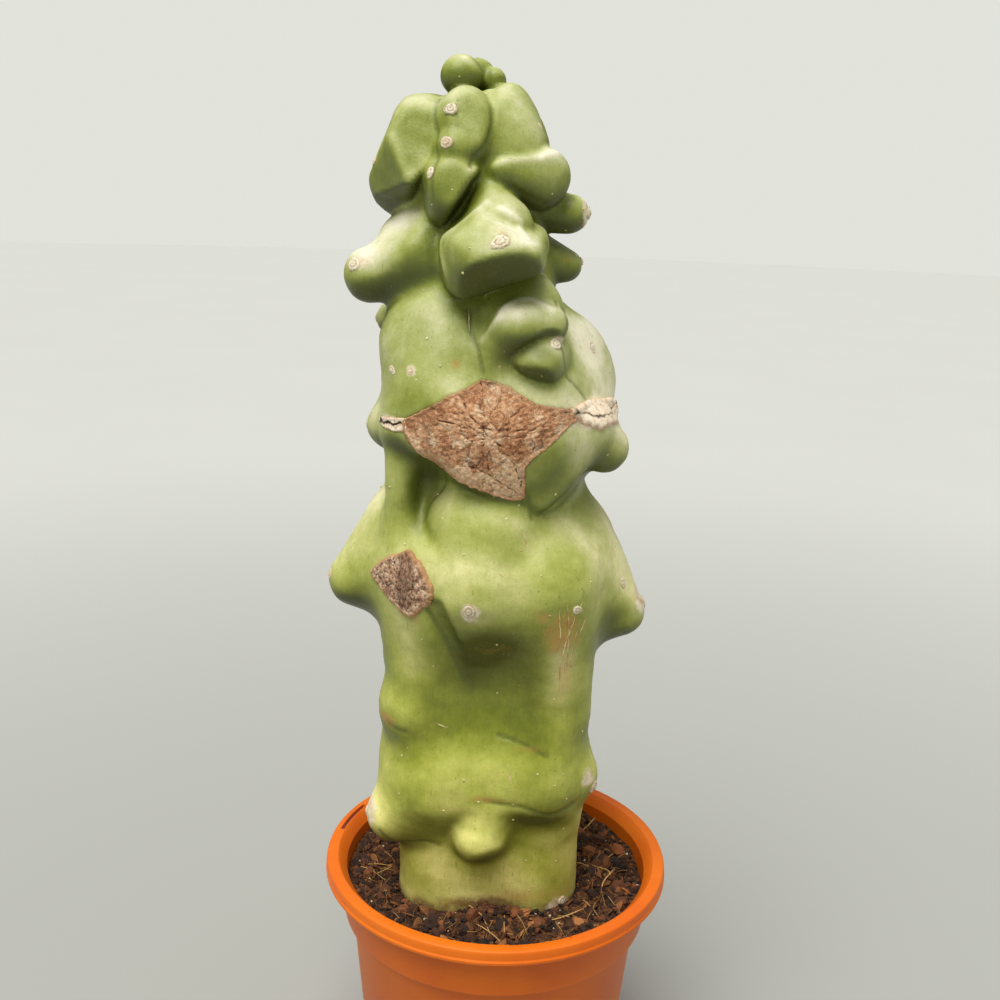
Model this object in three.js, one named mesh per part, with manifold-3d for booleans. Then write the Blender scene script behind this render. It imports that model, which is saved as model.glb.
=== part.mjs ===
// A monstrose column cactus, the totem pole kind, in a moulded nursery pot.
// Millimetres, +Z up. The origin is the centre of the pot's foot, on the ground.
// The pot, the soil in it and the one-piece stem are three separate solids.

import * as THREE from 'three';
import { mergeVertices } from 'three/addons/utils/BufferGeometryUtils.js';
import Module from 'manifold-3d';

const wasm = await Module();
wasm.setup();

// Pot
const POT_HEIGHT = 135;
const RIM_RADIUS = 85;
const WALL = 1.8;
const FOOT_RADIUS = 61.5;
const FOOT_RING_WIDTH = 13;
const FLOOR_RISE = 4;
const DRAIN_HOLE_DIAMETER = 9;
const DRAIN_HOLES_IN_RING = 8;
const DRAIN_RING_RADIUS = 32;
const ROUND_SEGMENTS = 48;

// Soil
const SOIL_LEVEL = 123.5;
const GAP = 0.35;

// Stem
const STEM_FOOT_X = -3.8;
const STEM_FOOT_Y = 1;
const STEM_FOOT_WIDTH = 86.6;
const STEM_FOOT_DEPTH = 79;
const STEM_CORNER = 24;
const STEM_BOTTOM = 87;
const STEM_TOP = 512;
const GRID_ACROSS = 6.4;

// Takes any closed three.js geometry to a solid that can be joined and cut.
function solid(geometry) {
  const plain = geometry.index ? geometry.clone() : mergeVertices(geometry.clone());
  plain.deleteAttribute('normal');
  plain.deleteAttribute('uv');
  const merged = mergeVertices(plain, 1e-4);
  const index = merged.index.array;
  const triVerts = [];
  for (let i = 0; i < index.length; i += 3) {
    const [a, b, c] = [index[i], index[i + 1], index[i + 2]];
    if (a !== b && b !== c && c !== a) triVerts.push(a, b, c);
  }
  return new wasm.Manifold(new wasm.Mesh({
    numProp: 3,
    vertProperties: new Float32Array(merged.attributes.position.array),
    triVerts: new Uint32Array(triVerts),
  }));
}

function geometryOf(body) {
  const mesh = body.getMesh();
  const geometry = new THREE.BufferGeometry();
  geometry.setAttribute('position', new THREE.BufferAttribute(mesh.vertProperties, 3));
  geometry.setIndex(new THREE.BufferAttribute(mesh.triVerts, 1));
  geometry.computeVertexNormals();
  return geometry;
}

function turned(profile) {
  const points = profile.map(([r, z]) => new THREE.Vector2(r, z));
  return new THREE.LatheGeometry(points, ROUND_SEGMENTS).rotateX(Math.PI / 2);
}

function node(name, geometry, color, roughness) {
  const material = new THREE.MeshStandardMaterial({ color, roughness, metalness: 0 });
  const mesh = new THREE.Mesh(geometry, material);
  mesh.name = name;
  return mesh;
}

// POT. One injection moulding: a tapered wall, a wider collar above a step, and a rim
// folded outwards and down, open underneath. The floor stands on a ring foot.
const FLOOR_INNER = FOOT_RADIUS - FOOT_RING_WIDTH - 2;
const outside = [
  [0, FLOOR_RISE], [FLOOR_INNER - 2, FLOOR_RISE], [FLOOR_INNER, 0],
  [FOOT_RADIUS - 2, 0], [FOOT_RADIUS - 0.6, 0.6], [FOOT_RADIUS, 2],
  [71.6, 104.4], [72.2, 105.2], [75.2, 105.6], [75.6, 106.6],
  [76.6, 131], [77.4, 133.1], [82.4, 133.1], [82.7, 128.1],
  [84.3, 127.8], [RIM_RADIUS, 128.6], [RIM_RADIUS, 129.7], [84.4, 130.5],
  [84.6, 133.4], [84.2, 134.5], [83.2, POT_HEIGHT],
];
const inside = [
  [79, POT_HEIGHT], [78.3, 134.5], [76.4, 132.4], [76.6 - WALL - 0.1, 130],
  [75.6 - WALL, 107.4], [69.8, 104.6], [FOOT_RADIUS - WALL, 4], [FOOT_RADIUS - WALL - 1.8, 2],
  [FLOOR_INNER + 1.2, 2], [FLOOR_INNER - 0.8, FLOOR_RISE + 2], [0, FLOOR_RISE + 2],
];

// A curved bar seen from above, between two radii and two angles in degrees.
function arcBar(inner, outer, from, to, bottom, top) {
  const shape = new THREE.Shape();
  const [a, b] = [THREE.MathUtils.degToRad(from), THREE.MathUtils.degToRad(to)];
  shape.absarc(0, 0, outer, a, b, false);
  shape.absarc(0, 0, inner, b, a, true);
  shape.closePath();
  const bar = new THREE.ExtrudeGeometry(shape, {
    depth: top - bottom, bevelEnabled: false, curveSegments: 8,
  });
  return solid(bar.translate(0, 0, bottom));
}

let potBody = solid(turned([...outside, ...inside]));
for (let i = 0; i <= DRAIN_HOLES_IN_RING; i++) {
  const radius = i < DRAIN_HOLES_IN_RING ? DRAIN_RING_RADIUS : 0;
  const angle = (i + 0.5) * 2 * Math.PI / DRAIN_HOLES_IN_RING;
  const drill = new THREE.CylinderGeometry(
    DRAIN_HOLE_DIAMETER / 2, DRAIN_HOLE_DIAMETER / 2, 20, 16).rotateX(Math.PI / 2);
  drill.translate(radius * Math.cos(angle), radius * Math.sin(angle), FLOOR_RISE);
  potBody = potBody.subtract(solid(drill));
}
// the slot through the top of the rim, and the shallow recess along its inner edge
potBody = potBody.subtract(arcBar(79.4, 81.4, 171, 190, 131, POT_HEIGHT + 1));
potBody = potBody.subtract(arcBar(77, 80, 296, 317, POT_HEIGHT - 1.2, POT_HEIGHT + 1));

// STEM. It grew as one piece: a column with swollen rings of blunt tubercles in place of
// clean ribs. Each row is one swelling, in millimetres, and runs softly into the rest over
// the length that its last number gives.
//   ball    x y z, its three radii
//   limb    x y z and radius at its root, x y z and radius at its tip
//   block   x y z, half its width, depth and height, and its edge radius
//   facet   x y z on a flat face, and the way that it faces: it trims the row before it
//   hollow  x y z, its three radii: sunk into all the rows before it
//   groove  as a limb, sunk into all the rows before it
const SWELLINGS = [
  // column
  ['block', -3.8, 1, 135, 43.6, 39.5, 48, 24, 0],
  ['block', -7.2, 1, 224, 46.5, 41, 46, 27, 34],
  ['ball', -5, 0, 284, 52, 50, 46, 26],
  ['ball', -7.5, 0, 345, 43, 43, 42, 22],
  ['ball', -12, -2, 388, 40, 42, 32, 20],
  ['ball', -18, -2, 425, 32, 30, 36, 16],
  ['ball', -24, -1, 466, 29, 25, 28, 12],
  // lower column ribs
  ['limb', -34, -30, 290, 17, -36, -28, 230, 15.5, 12],
  ['ball', -43.5, -26, 223, 11.5, 15, 12, 11],
  ['limb', 19, -36, 288, 19, 25, -28, 226, 15, 12],
  ['limb', -40, 28, 272, 16, -41, 27, 200, 14, 10],
  ['limb', 24, 28, 270, 16, 25, 26, 200, 14, 10],
  ['groove', -10, -54, 262, 18, -8, -50, 212, 9.5, 8],
  ['hollow', -8, 62, 232, 14, 24, 30, 12],
  // lower ring
  ['limb', -26, -20.5, 190, 24, 11, -22, 193, 24, 24],
  ['facet', -8, -44, 184, 0.0, -0.25, -0.97, 3],
  ['ball', 19, -27, 192, 16, 18, 15, 6],
  ['facet', 19, -43, 182, 0.1, -0.3, -0.95, 3],
  ['limb', -29, -24, 184, 22, -48, -25, 168, 14.5, 8],
  ['facet', -42, -38, 157, 0.1, -0.35, -0.93, 3],
  ['facet', -26, -44, 170, 0.75, -0.3, -0.6, 4],
  ['limb', -4, -30, 182, 15, -7.5, -41, 165, 12, 6],
  ['facet', -8, -49, 157.5, 0.35, -0.55, -0.76, 3],
  ['limb', 16, -22, 196, 18, 35.5, -24, 190, 10, 8],
  ['limb', 24, 0, 196, 16, 31, 2, 184, 12, 10],
  ['limb', -30, 24, 190, 18, -42, 33, 170, 12, 12],
  ['limb', 20, 24, 190, 18, 29, 33, 172, 12, 12],
  ['limb', -4, 32, 180, 14, -2, 46, 167, 9.5, 6],
  // mid ring
  ['ball', -7, -2, 286, 53, 54, 40, 20],
  ['limb', -40, -4, 302, 26, -68, -8, 279, 14.5, 16],
  ['facet', -66, -16, 268, 0.1, -0.45, -0.9, 6],
  ['limb', 25, -4, 293, 24, 52.5, -9, 268, 13, 14],
  ['facet', 55, -16, 256, -0.1, -0.45, -0.9, 6],
  ['ball', -12, -18, 287, 28, 45, 38, 6],
  ['facet', -12, -60.5, 279, -0.1, -0.75, -0.65, 4],
  ['limb', -10, -40, 294, 18, -8, -44, 268, 14, 5],
  ['facet', -8, -61, 278.5, 0.08, -0.77, -0.64, 3],
  ['facet', -24, -54, 280, -0.8, -0.5, -0.33, 3],
  ['groove', -31.5, -58.5, 281, 5, -12.5, -44.5, 236, 5.5, 3],
  ['limb', -4, 28, 302, 28, 2, 56, 277, 13, 14],
  ['limb', -34, 28, 300, 20, -50, 42, 282, 12, 12],
  ['limb', 30, 26, 294, 20, 44, 40, 272, 12, 12],
  // upper ring
  ['limb', -38, -4, 364, 20, -55.5, -6, 352, 10, 8],
  ['limb', 20, -6, 366, 22, 42, -8, 345, 10.5, 8],
  ['ball', -10, -18, 358, 48, 42, 46, 8],
  ['facet', -11, -57.5, 363, 0, -0.87, 0.48, 6],
  ['facet', -11, -57.5, 354, 0.02, -0.985, -0.17, 6],
  ['facet', -45, -45, 352, -0.45, -0.88, -0.05, 6],
  ['facet', -30, -48, 342, -0.5, -0.3, -0.81, 4],
  ['limb', -44, -32, 357, 8, -54, -14, 353, 8, 5],
  ['limb', -47, -28, 350, 8, -47.5, -26, 300, 8, 6],
  ['limb', 30, -26, 357, 14, 41, -19, 347.5, 11, 4],
  ['limb', 29, -31, 356, 13, 12, -42, 330, 7, 3],
  ['facet', 24, -44, 345, 0.35, -0.93, -0.1, 3],
  ['hollow', -35, -55, 327, 12, 27, 21, 4],
  ['ball', -9, -20, 309, 31, 36.5, 30, 4],
  ['limb', -30, 24, 364, 18, -45, 38, 352, 10, 8],
  ['limb', 14, 24, 366, 20, 28, 40, 349, 10, 8],
  ['limb', -10, 28, 370, 16, -9, 47, 357, 9, 6],
  // upper body
  ['ball', -33, -10, 388, 26.5, 33, 34, 6],
  ['facet', -40, -40.5, 388, -0.42, -0.88, 0.2, 4],
  ['ball', 16, 4, 371, 31, 30, 36, 6],
  ['facet', 33, -18, 385, 0.8, -0.5, 0.33, 6],
  ['ball', 0, -25, 402, 21, 23, 24, 3],
  ['facet', 3, -44, 410, 0.1, -0.8, 0.6, 3],
  ['facet', -8, -44.5, 397, -0.47, -0.88, -0.08, 2.5],
  ['facet', -3, -45, 401, 0.45, -0.5, -0.74, 2],
  ['facet', 18, -38, 402, 0.9, -0.4, 0.1, 2],
  ['limb', -13, -37, 384, 7, 0, -45, 402, 9.5, 5],
  ['limb', 0, -45, 402, 9.5, 13.5, -40, 403, 8.5, 3],
  ['groove', -4, -55, 384, 6, 17, -54, 394.5, 9.5, 1],
  ['ball', 9.5, -28, 388, 14.5, 27, 16, 2],
  ['facet', 9, -51, 394, 0.15, -0.7, 0.7, 3],
  ['facet', 9, -54.5, 386.5, -0.15, -0.62, -0.77, 2],
  ['facet', 5, -44, 381, -0.6, -0.2, -0.77, 3],
  ['ball', -10, 20, 392, 27, 24, 26, 8],
  ['limb', -22, 20, 406, 15, -26, 40, 396, 9.5, 6],
  ['limb', 8, 20, 396, 17, 13, 38, 388, 9, 8],
  // neck
  ['ball', -44, -8, 430, 18, 24, 19, 8],
  ['facet', -50, -20, 440, -0.6, -0.5, 0.62, 4],
  ['limb', -38, -14, 424, 16, -63, -13, 419, 12, 5],
  ['facet', -60, -23, 414, 0.1, -0.7, -0.7, 3],
  ['limb', -38, 12, 405, 10, -56, 16, 398, 8, 4],
  ['limb', 4, -2, 449, 10, 22, -4, 447.5, 8.5, 3],
  ['limb', 4, 3, 428, 13, 22, 4, 425, 7, 3],
  ['limb', -15, -24, 462, 3, -9, -30, 440, 15, 2],
  ['ball', -9, -32, 431, 26, 31, 25, 2],
  ['facet', -9, -62, 430.5, 0.2, -0.66, -0.72, 1.5],
  ['facet', -10, -58, 440, -0.2, -0.78, 0.6, 4],
  ['facet', -22, -45, 443.5, -0.65, -0.2, 0.73, 3],
  ['facet', -9, -40, 445.5, 0.4, -0.2, 0.9, 3],
  ['facet', 10.5, -45, 438, 0.98, -0.1, 0.1, 4],
  ['facet', -22, -45, 411, 0.39, 0.2, -0.9, 3],
  ['facet', -30, -45, 425, -0.97, -0.25, -0.05, 4],
  ['limb', -14, 12, 438, 19, -11, 34, 427, 12, 4],
  ['facet', -12, 40, 420, 0.2, 0.6, -0.75, 3],
  ['limb', -34, 8, 446, 12, -46, 22, 442, 9, 6],
  ['limb', -34, 12, 424, 15, -48, 32, 416, 9.5, 6],
  // head
  ['ball', -40, -4, 466, 27, 30, 29, 3],
  ['facet', -60, -3, 476, -0.87, -0.15, 0.37, 3],
  ['facet', -60, -3, 476, -0.78, 0.5, 0.37, 6],
  ['facet', -45, -27, 470, -0.15, -0.96, 0.25, 2],
  ['facet', -47.5, -30, 460, -0.75, -0.66, -0.15, 2],
  ['facet', -54, -22, 455.5, -0.2, -0.42, -0.88, 1],
  ['facet', -49, -28, 450, 0.81, -0.1, -0.58, 2],
  ['ball', -6, -4, 472, 18, 26, 28, 4],
  ['facet', 1, -27, 472, 0.22, -0.93, 0.28, 3],
  ['facet', 2, -22, 484, 0.45, -0.72, 0.52, 4],
  ['facet', 7, -8, 488, 0.8, -0.2, 0.56, 4],
  ['ball', -24, -14, 478, 14.5, 24, 20, 3],
  ['facet', -24, -33.5, 480, 0.1, -0.95, 0.3, 2],
  ['facet', -31, -33, 478, -0.8, -0.6, 0.1, 2],
  ['ball', -28, -28, 471, 8, 9.5, 8.5, 3],
  ['facet', -24, -35, 466.5, 0.1, -0.3, -0.95, 1],
  ['limb', -8, -26, 463.5, 6.5, 8, -14, 462, 13, 2],
  ['facet', 2, -30, 462, 0.4, -0.9, -0.15, 4],
  ['facet', 0, -26, 471.5, -0.1, -0.4, 0.91, 2],
  ['ball', -28, -24, 456, 14, 19, 17, 2],
  ['facet', -25, -38, 452, 0.84, -0.1, -0.53, 2],
  ['facet', -38, -36, 456, -0.97, -0.2, -0.15, 2],
  ['facet', -30, -41, 458, 0.05, -0.98, 0.1, 2],
  ['ball', -34, 10, 472, 20, 21, 22, 3],
  ['ball', -12, 12, 471, 18, 20, 24, 3],
  ['limb', -22, 18, 464, 9, -20, 31, 455, 7, 3],
  ['ball', -26.5, -4, 502.5, 8.8, 8.6, 8.6, 1.5],
  ['ball', -20, 4, 503, 7.8, 7.8, 7.8, 1.5],
  ['ball', -13, 0, 501, 4.8, 4.8, 6, 1.5],
  ['ball', -14.5, -10, 493.5, 3.4, 3.4, 3.8, 1.5],
];

const { abs, hypot, max, min, sqrt } = Math;

function softMin(a, b, reach) {
  if (reach <= 0) return min(a, b);
  const overlap = max(reach - abs(a - b), 0) / reach;
  return min(a, b) - overlap * overlap * reach / 4;
}

const softMax = (a, b, reach) => -softMin(-a, -b, reach);

const distanceTo = {
  ball(x, y, z, [cx, cy, cz, rx, ry, rz]) {
    const [ax, ay, az] = [(x - cx) / rx, (y - cy) / ry, (z - cz) / rz];
    const inner = hypot(ax, ay, az) + 1e-9;
    return inner * (inner - 1) / (hypot(ax / rx, ay / ry, az / rz) + 1e-9);
  },
  limb(x, y, z, [ax, ay, az, ra, bx, by, bz, rb]) {
    const [ux, uy, uz] = [bx - ax, by - ay, bz - az];
    const length = hypot(ux, uy, uz);
    const [px, py, pz] = [x - ax, y - ay, z - az];
    const along = (px * ux + py * uy + pz * uz) / length;
    const across = sqrt(max(px * px + py * py + pz * pz - along * along, 0));
    const slope = (ra - rb) / length;
    const s = min(max(along - across * slope / sqrt(1 - slope * slope), 0), length);
    return hypot(across, along - s) - (ra + (rb - ra) * s / length);
  },
  block(x, y, z, [cx, cy, cz, hx, hy, hz, r]) {
    const [qx, qy, qz] = [abs(x - cx) - hx + r, abs(y - cy) - hy + r, abs(z - cz) - hz + r];
    return hypot(max(qx, 0), max(qy, 0), max(qz, 0)) + min(max(qx, qy, qz), 0) - r;
  },
  facet(x, y, z, [ox, oy, oz, nx, ny, nz]) {
    return ((x - ox) * nx + (y - oy) * ny + (z - oz) * nz) / hypot(nx, ny, nz);
  },
};
distanceTo.hollow = distanceTo.ball;
distanceTo.groove = distanceTo.limb;

// Distance from a point to the stem's skin, negative inside it.
function stemDistance(x, y, z) {
  let skin = Infinity;
  let swelling = Infinity;
  let reach = 0;
  for (const [kind, ...size] of SWELLINGS) {
    const soft = size[size.length - 1];
    const d = distanceTo[kind](x, y, z, size);
    if (kind === 'facet') {
      swelling = softMax(swelling, d, soft);
    } else {
      skin = swelling < Infinity ? softMin(skin, swelling, reach) : skin;
      swelling = Infinity;
      if (kind === 'hollow' || kind === 'groove') skin = softMax(skin, -d, soft);
      else [swelling, reach] = [d, skin < Infinity ? soft : 0];
    }
  }
  return softMin(skin, swelling, swelling < Infinity ? reach : 0);
}

// Grid lines at even steps across, and up the stem in closer steps toward the small
// tubercles of the head.
function gridLines(from, to, stepAt) {
  const lines = [from];
  while (lines[lines.length - 1] < to) {
    const last = lines[lines.length - 1];
    lines.push(last + stepAt(last));
  }
  return lines;
}

const xs = gridLines(-92, 80, () => GRID_ACROSS);
const ys = gridLines(-76, 72, () => GRID_ACROSS);
const zs = gridLines(STEM_BOTTOM - 14, STEM_TOP + 6,
  (z) => (z < 142 ? 10 : z < 400 ? 7.2 : 5.6));

// Skins the stem: one vertex in each grid box that its surface crosses, drawn onto the
// surface, and one four-cornered face round each grid edge that the surface crosses.
function stemGeometry() {
  const [nx, ny, nz] = [xs.length, ys.length, zs.length];
  const at = (i, j, k) => (k * ny + j) * nx + i;
  const value = new Float64Array(nx * ny * nz);
  for (let k = 0; k < nz; k++) {
    for (let j = 0; j < ny; j++) {
      for (let i = 0; i < nx; i++) value[at(i, j, k)] = stemDistance(xs[i], ys[j], zs[k]);
    }
  }
  const inside = (i, j, k) => value[at(i, j, k)] < 0;

  // Fills the pinch of a deep crease where two corners of a grid square lie inside the
  // stem and the two across lie outside, so that every edge joins just two faces.
  const pairs = [[[1, 0, 0], [0, 1, 0]], [[0, 1, 0], [0, 0, 1]], [[1, 0, 0], [0, 0, 1]]];
  for (let pinches = 1; pinches > 0;) {
    pinches = 0;
    for (let k = 0; k < nz - 1; k++) {
      for (let j = 0; j < ny - 1; j++) {
        for (let i = 0; i < nx - 1; i++) {
          for (const [u, v] of pairs) {
            const a = at(i, j, k);
            const b = at(i + u[0], j + u[1], k + u[2]);
            const c = at(i + u[0] + v[0], j + u[1] + v[1], k + u[2] + v[2]);
            const d = at(i + v[0], j + v[1], k + v[2]);
            const [ia, ib, ic, id] = [a, b, c, d].map((n) => value[n] < 0);
            if (ia !== ic || ib !== id || ia === ib) continue;
            const open = ia ? [b, d] : [a, c];
            value[value[open[0]] < value[open[1]] ? open[0] : open[1]] = -0.05;
            pinches++;
          }
        }
      }
    }
  }

  const corners = [0, 1, 2, 3, 4, 5, 6, 7].map((n) => [n & 1, (n >> 1) & 1, n >> 2]);
  const edges = [];
  for (let a = 0; a < 8; a++) {
    for (const step of [1, 2, 4]) if (!(a & step)) edges.push([a, a | step]);
  }

  // Moves a point onto the skin without leaving its own box by more than a little.
  function settle(point, low, high) {
    for (let pass = 0; pass < 4; pass++) {
      const d = stemDistance(...point);
      const slope = [0, 1, 2].map((axis) => {
        const [ahead, behind] = [[...point], [...point]];
        ahead[axis] += 0.2;
        behind[axis] -= 0.2;
        return (stemDistance(...ahead) - stemDistance(...behind)) / 0.4;
      });
      const steepness = slope.reduce((sum, s) => sum + s * s, 1e-6);
      point = point.map((p, axis) => {
        const spare = 0.02 * (high[axis] - low[axis]);
        const moved = p - d * slope[axis] / steepness;
        return min(max(moved, low[axis] + spare), high[axis] - spare);
      });
    }
    return point;
  }

  const positions = [];
  const vertexOf = new Int32Array(nx * ny * nz).fill(-1);
  for (let k = 0; k < nz - 1; k++) {
    for (let j = 0; j < ny - 1; j++) {
      for (let i = 0; i < nx - 1; i++) {
        const values = corners.map(([a, b, c]) => value[at(i + a, j + b, k + c)]);
        const crossed = edges.filter(([a, b]) => values[a] < 0 !== values[b] < 0);
        if (!crossed.length) continue;
        const mean = [0, 0, 0];
        for (const [a, b] of crossed) {
          const t = values[a] / (values[a] - values[b]);
          const [p, q] = [corners[a], corners[b]];
          mean[0] += xs[i + p[0]] + t * (q[0] - p[0]) * (xs[i + 1] - xs[i]);
          mean[1] += ys[j + p[1]] + t * (q[1] - p[1]) * (ys[j + 1] - ys[j]);
          mean[2] += zs[k + p[2]] + t * (q[2] - p[2]) * (zs[k + 1] - zs[k]);
        }
        const start = mean.map((sum) => sum / crossed.length);
        vertexOf[at(i, j, k)] = positions.length / 3;
        positions.push(...settle(start, [xs[i], ys[j], zs[k]], [xs[i + 1], ys[j + 1], zs[k + 1]]));
      }
    }
  }

  const index = [];
  const apart = (a, b) => hypot(
    positions[3 * a] - positions[3 * b],
    positions[3 * a + 1] - positions[3 * b + 1],
    positions[3 * a + 2] - positions[3 * b + 2]);
  function face(a, b, c, d, flip) {
    const ring = flip ? [d, c, b, a] : [a, b, c, d];
    const [p, q, r, s] = ring;
    if (apart(p, r) < apart(q, s)) index.push(p, q, r, p, r, s);
    else index.push(q, r, s, q, s, p);
  }
  for (let k = 1; k < nz - 1; k++) {
    for (let j = 1; j < ny - 1; j++) {
      for (let i = 1; i < nx - 1; i++) {
        const here = inside(i, j, k);
        const box = (a, b, c) => vertexOf[at(i - a, j - b, k - c)];
        if (here !== inside(i + 1, j, k)) {
          face(box(0, 1, 1), box(0, 0, 1), box(0, 0, 0), box(0, 1, 0), !here);
        }
        if (here !== inside(i, j + 1, k)) {
          face(box(1, 0, 1), box(1, 0, 0), box(0, 0, 0), box(0, 0, 1), !here);
        }
        if (here !== inside(i, j, k + 1)) {
          face(box(1, 1, 0), box(0, 1, 0), box(0, 0, 0), box(1, 0, 0), !here);
        }
      }
    }
  }
  const geometry = new THREE.BufferGeometry();
  geometry.setAttribute('position', new THREE.Float32BufferAttribute(positions, 3));
  geometry.setIndex(index);
  geometry.computeVertexNormals();
  return geometry;
}

// SOIL. A coarse potting mix with a crust of low mounds, drawn up against the stem in
// front. It fills the pot just short of the wall, and the stem stands in a plain hole.
const mounds = [
  [1, -42, 5.5, 13, 7], [50, -14, 4.5, 8, 8], [-58, -6, -4, 11, 12], [66, 4, -3.5, 10, 12],
  [-46, 46, 3, 14, 12], [30, 56, 2.5, 16, 10], [-30, -58, 2, 14, 8], [38, -50, 1.5, 12, 9],
];
function soilHeight(x, y) {
  let z = SOIL_LEVEL + 1.1 * Math.sin(x / 7.3 + 0.8) * Math.cos(y / 8.9)
    + 0.8 * Math.sin(x / 4.6 - y / 5.7 + 2);
  for (const [cx, cy, height, wide, deep] of mounds) {
    z += height * Math.exp(-(((x - cx) / wide) ** 2) - ((y - cy) / deep) ** 2);
  }
  return z;
}
const soilProfile = [
  [0, FLOOR_RISE + 2 + GAP], [FLOOR_INNER - 0.6, FLOOR_RISE + 2 + GAP],
  [FLOOR_INNER + 1.4, 2 + GAP], [FOOT_RADIUS - WALL - 2, 2 + GAP],
  [FOOT_RADIUS - WALL - GAP, 4 + GAP], [69.8 - GAP, 104.7], [75.6 - WALL - GAP, 107.7],
  [73.8, SOIL_LEVEL - 4], [74, SOIL_LEVEL],
];
for (let r = 68; r > 30; r -= 6) soilProfile.push([r, SOIL_LEVEL]);
soilProfile.push([0, SOIL_LEVEL]);
const soilTurned = turned(soilProfile);
const crust = soilTurned.attributes.position;
for (let i = 0; i < crust.count; i++) {
  if (crust.getZ(i) > SOIL_LEVEL - 0.5) crust.setZ(i, soilHeight(crust.getX(i), crust.getY(i)));
}

const holeOutline = new THREE.Shape();
{
  const [w, d] = [STEM_FOOT_WIDTH / 2 + GAP, STEM_FOOT_DEPTH / 2 + GAP];
  const r = STEM_CORNER + GAP;
  holeOutline.absarc(w - r, d - r, r, 0, Math.PI / 2, false);
  holeOutline.absarc(r - w, d - r, r, Math.PI / 2, Math.PI, false);
  holeOutline.absarc(r - w, r - d, r, Math.PI, 1.5 * Math.PI, false);
  holeOutline.absarc(w - r, r - d, r, 1.5 * Math.PI, 2 * Math.PI, false);
}
const hole = new THREE.ExtrudeGeometry(holeOutline, {
  depth: 60, bevelEnabled: false, curveSegments: 10,
}).translate(STEM_FOOT_X, STEM_FOOT_Y, STEM_BOTTOM - GAP);
const soilBody = solid(soilTurned).subtract(solid(hole));

const pottedCactus = new THREE.Group();
pottedCactus.name = 'potted_totem_pole_cactus';
pottedCactus.add(
  node('pot', geometryOf(potBody), 0xe07a2c, 0.42),
  node('soil', geometryOf(soilBody), 0x3a2619, 0.95),
  node('cactus_stem', stemGeometry(), 0x8fa861, 0.5),
);

export default pottedCactus;
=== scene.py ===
import math
import random

import bpy
import numpy as np
from mathutils import Matrix, Vector


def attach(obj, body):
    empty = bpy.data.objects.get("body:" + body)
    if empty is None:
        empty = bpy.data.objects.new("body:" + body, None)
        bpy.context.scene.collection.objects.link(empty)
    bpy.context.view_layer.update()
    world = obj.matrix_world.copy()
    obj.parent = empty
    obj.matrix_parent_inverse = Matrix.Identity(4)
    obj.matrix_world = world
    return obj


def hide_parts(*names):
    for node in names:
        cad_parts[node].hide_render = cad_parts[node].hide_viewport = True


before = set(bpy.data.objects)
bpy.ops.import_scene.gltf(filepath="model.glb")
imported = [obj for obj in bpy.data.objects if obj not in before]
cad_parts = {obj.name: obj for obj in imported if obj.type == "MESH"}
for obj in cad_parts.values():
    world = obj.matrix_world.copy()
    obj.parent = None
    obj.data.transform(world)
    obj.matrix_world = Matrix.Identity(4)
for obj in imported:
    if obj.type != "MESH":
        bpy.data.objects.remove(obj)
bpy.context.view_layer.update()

# STUDIO. A pale floor, wide soft daylight from overhead and a little in front, and pale air
# all round. The camera stands at the height of the stem's upper third, looks down a little
# and is held a touch off level.
FOCAL_LENGTH = 1.160  # in widths of the picture
LOOKS_DOWN, HELD_OFF_LEVEL = math.radians(14.7), math.radians(2.0)
CAMERA_PLACE = (-0.00406, -0.5237, 0.4542)
bpy.context.scene.view_settings.view_transform = "Standard"


def colour(code):
    """A colour written as an sRGB hex code, turned linear. One that is linear already is kept."""
    if not isinstance(code, str):
        return code
    parts = [int(code[i:i + 2], 16) / 255 for i in (1, 3, 5)]
    return tuple(c / 12.92 if c <= 0.04045 else ((c + 0.055) / 1.055) ** 2.4 for c in parts) + (1.0,)


def add(tree, kind, inputs=None, out=0, **settings):
    """Adds a node with its settings and its inputs, which are values, hex codes or the outputs
    of other nodes. Gives back the output that is named or numbered by out."""
    node = tree.nodes.new("ShaderNode" + kind)
    for name, value in settings.items():
        if name == "stops":
            ends = node.color_ramp.elements
            ends[0].position, ends[0].color = value[0][0], colour(value[0][1])
            ends[1].position, ends[1].color = value[-1][0], colour(value[-1][1])
            for place, tint in value[1:-1]:
                ends.new(place).color = colour(tint)
        else:
            setattr(node, name, value)
    for socket, value in (inputs or {}).items():
        if isinstance(value, bpy.types.NodeSocket):
            tree.links.new(value, node.inputs[socket])
        else:
            node.inputs[socket].default_value = colour(value)
    return node.outputs[out] if len(node.outputs) else None


def new_material(name):
    """An empty material, its node tree and the place on the piece, which its patterns read."""
    material = bpy.data.materials.new(name)
    material.use_nodes = True
    tree = material.node_tree
    tree.nodes.clear()
    return material, tree, add(tree, "TexCoord", out="Object")


def surface_of(tree, tint, rough, bump=None, **more):
    """Ends a material. A bump is the height that makes it, its strength and its depth in metres."""
    inputs = {"Base Color": tint, "Roughness": rough, **more}
    if bump:
        inputs["Normal"] = add(tree, "Bump", dict(zip(("Height", "Strength", "Distance"), bump)))
    add(tree, "OutputMaterial", {"Surface": add(tree, "BsdfPrincipled", inputs)})


def only(*objects):
    """Selects these objects and nothing else, the last one active."""
    bpy.ops.object.select_all(action="DESELECT")
    for o in objects:
        o.select_set(True)
        bpy.context.view_layer.objects.active = o


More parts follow.
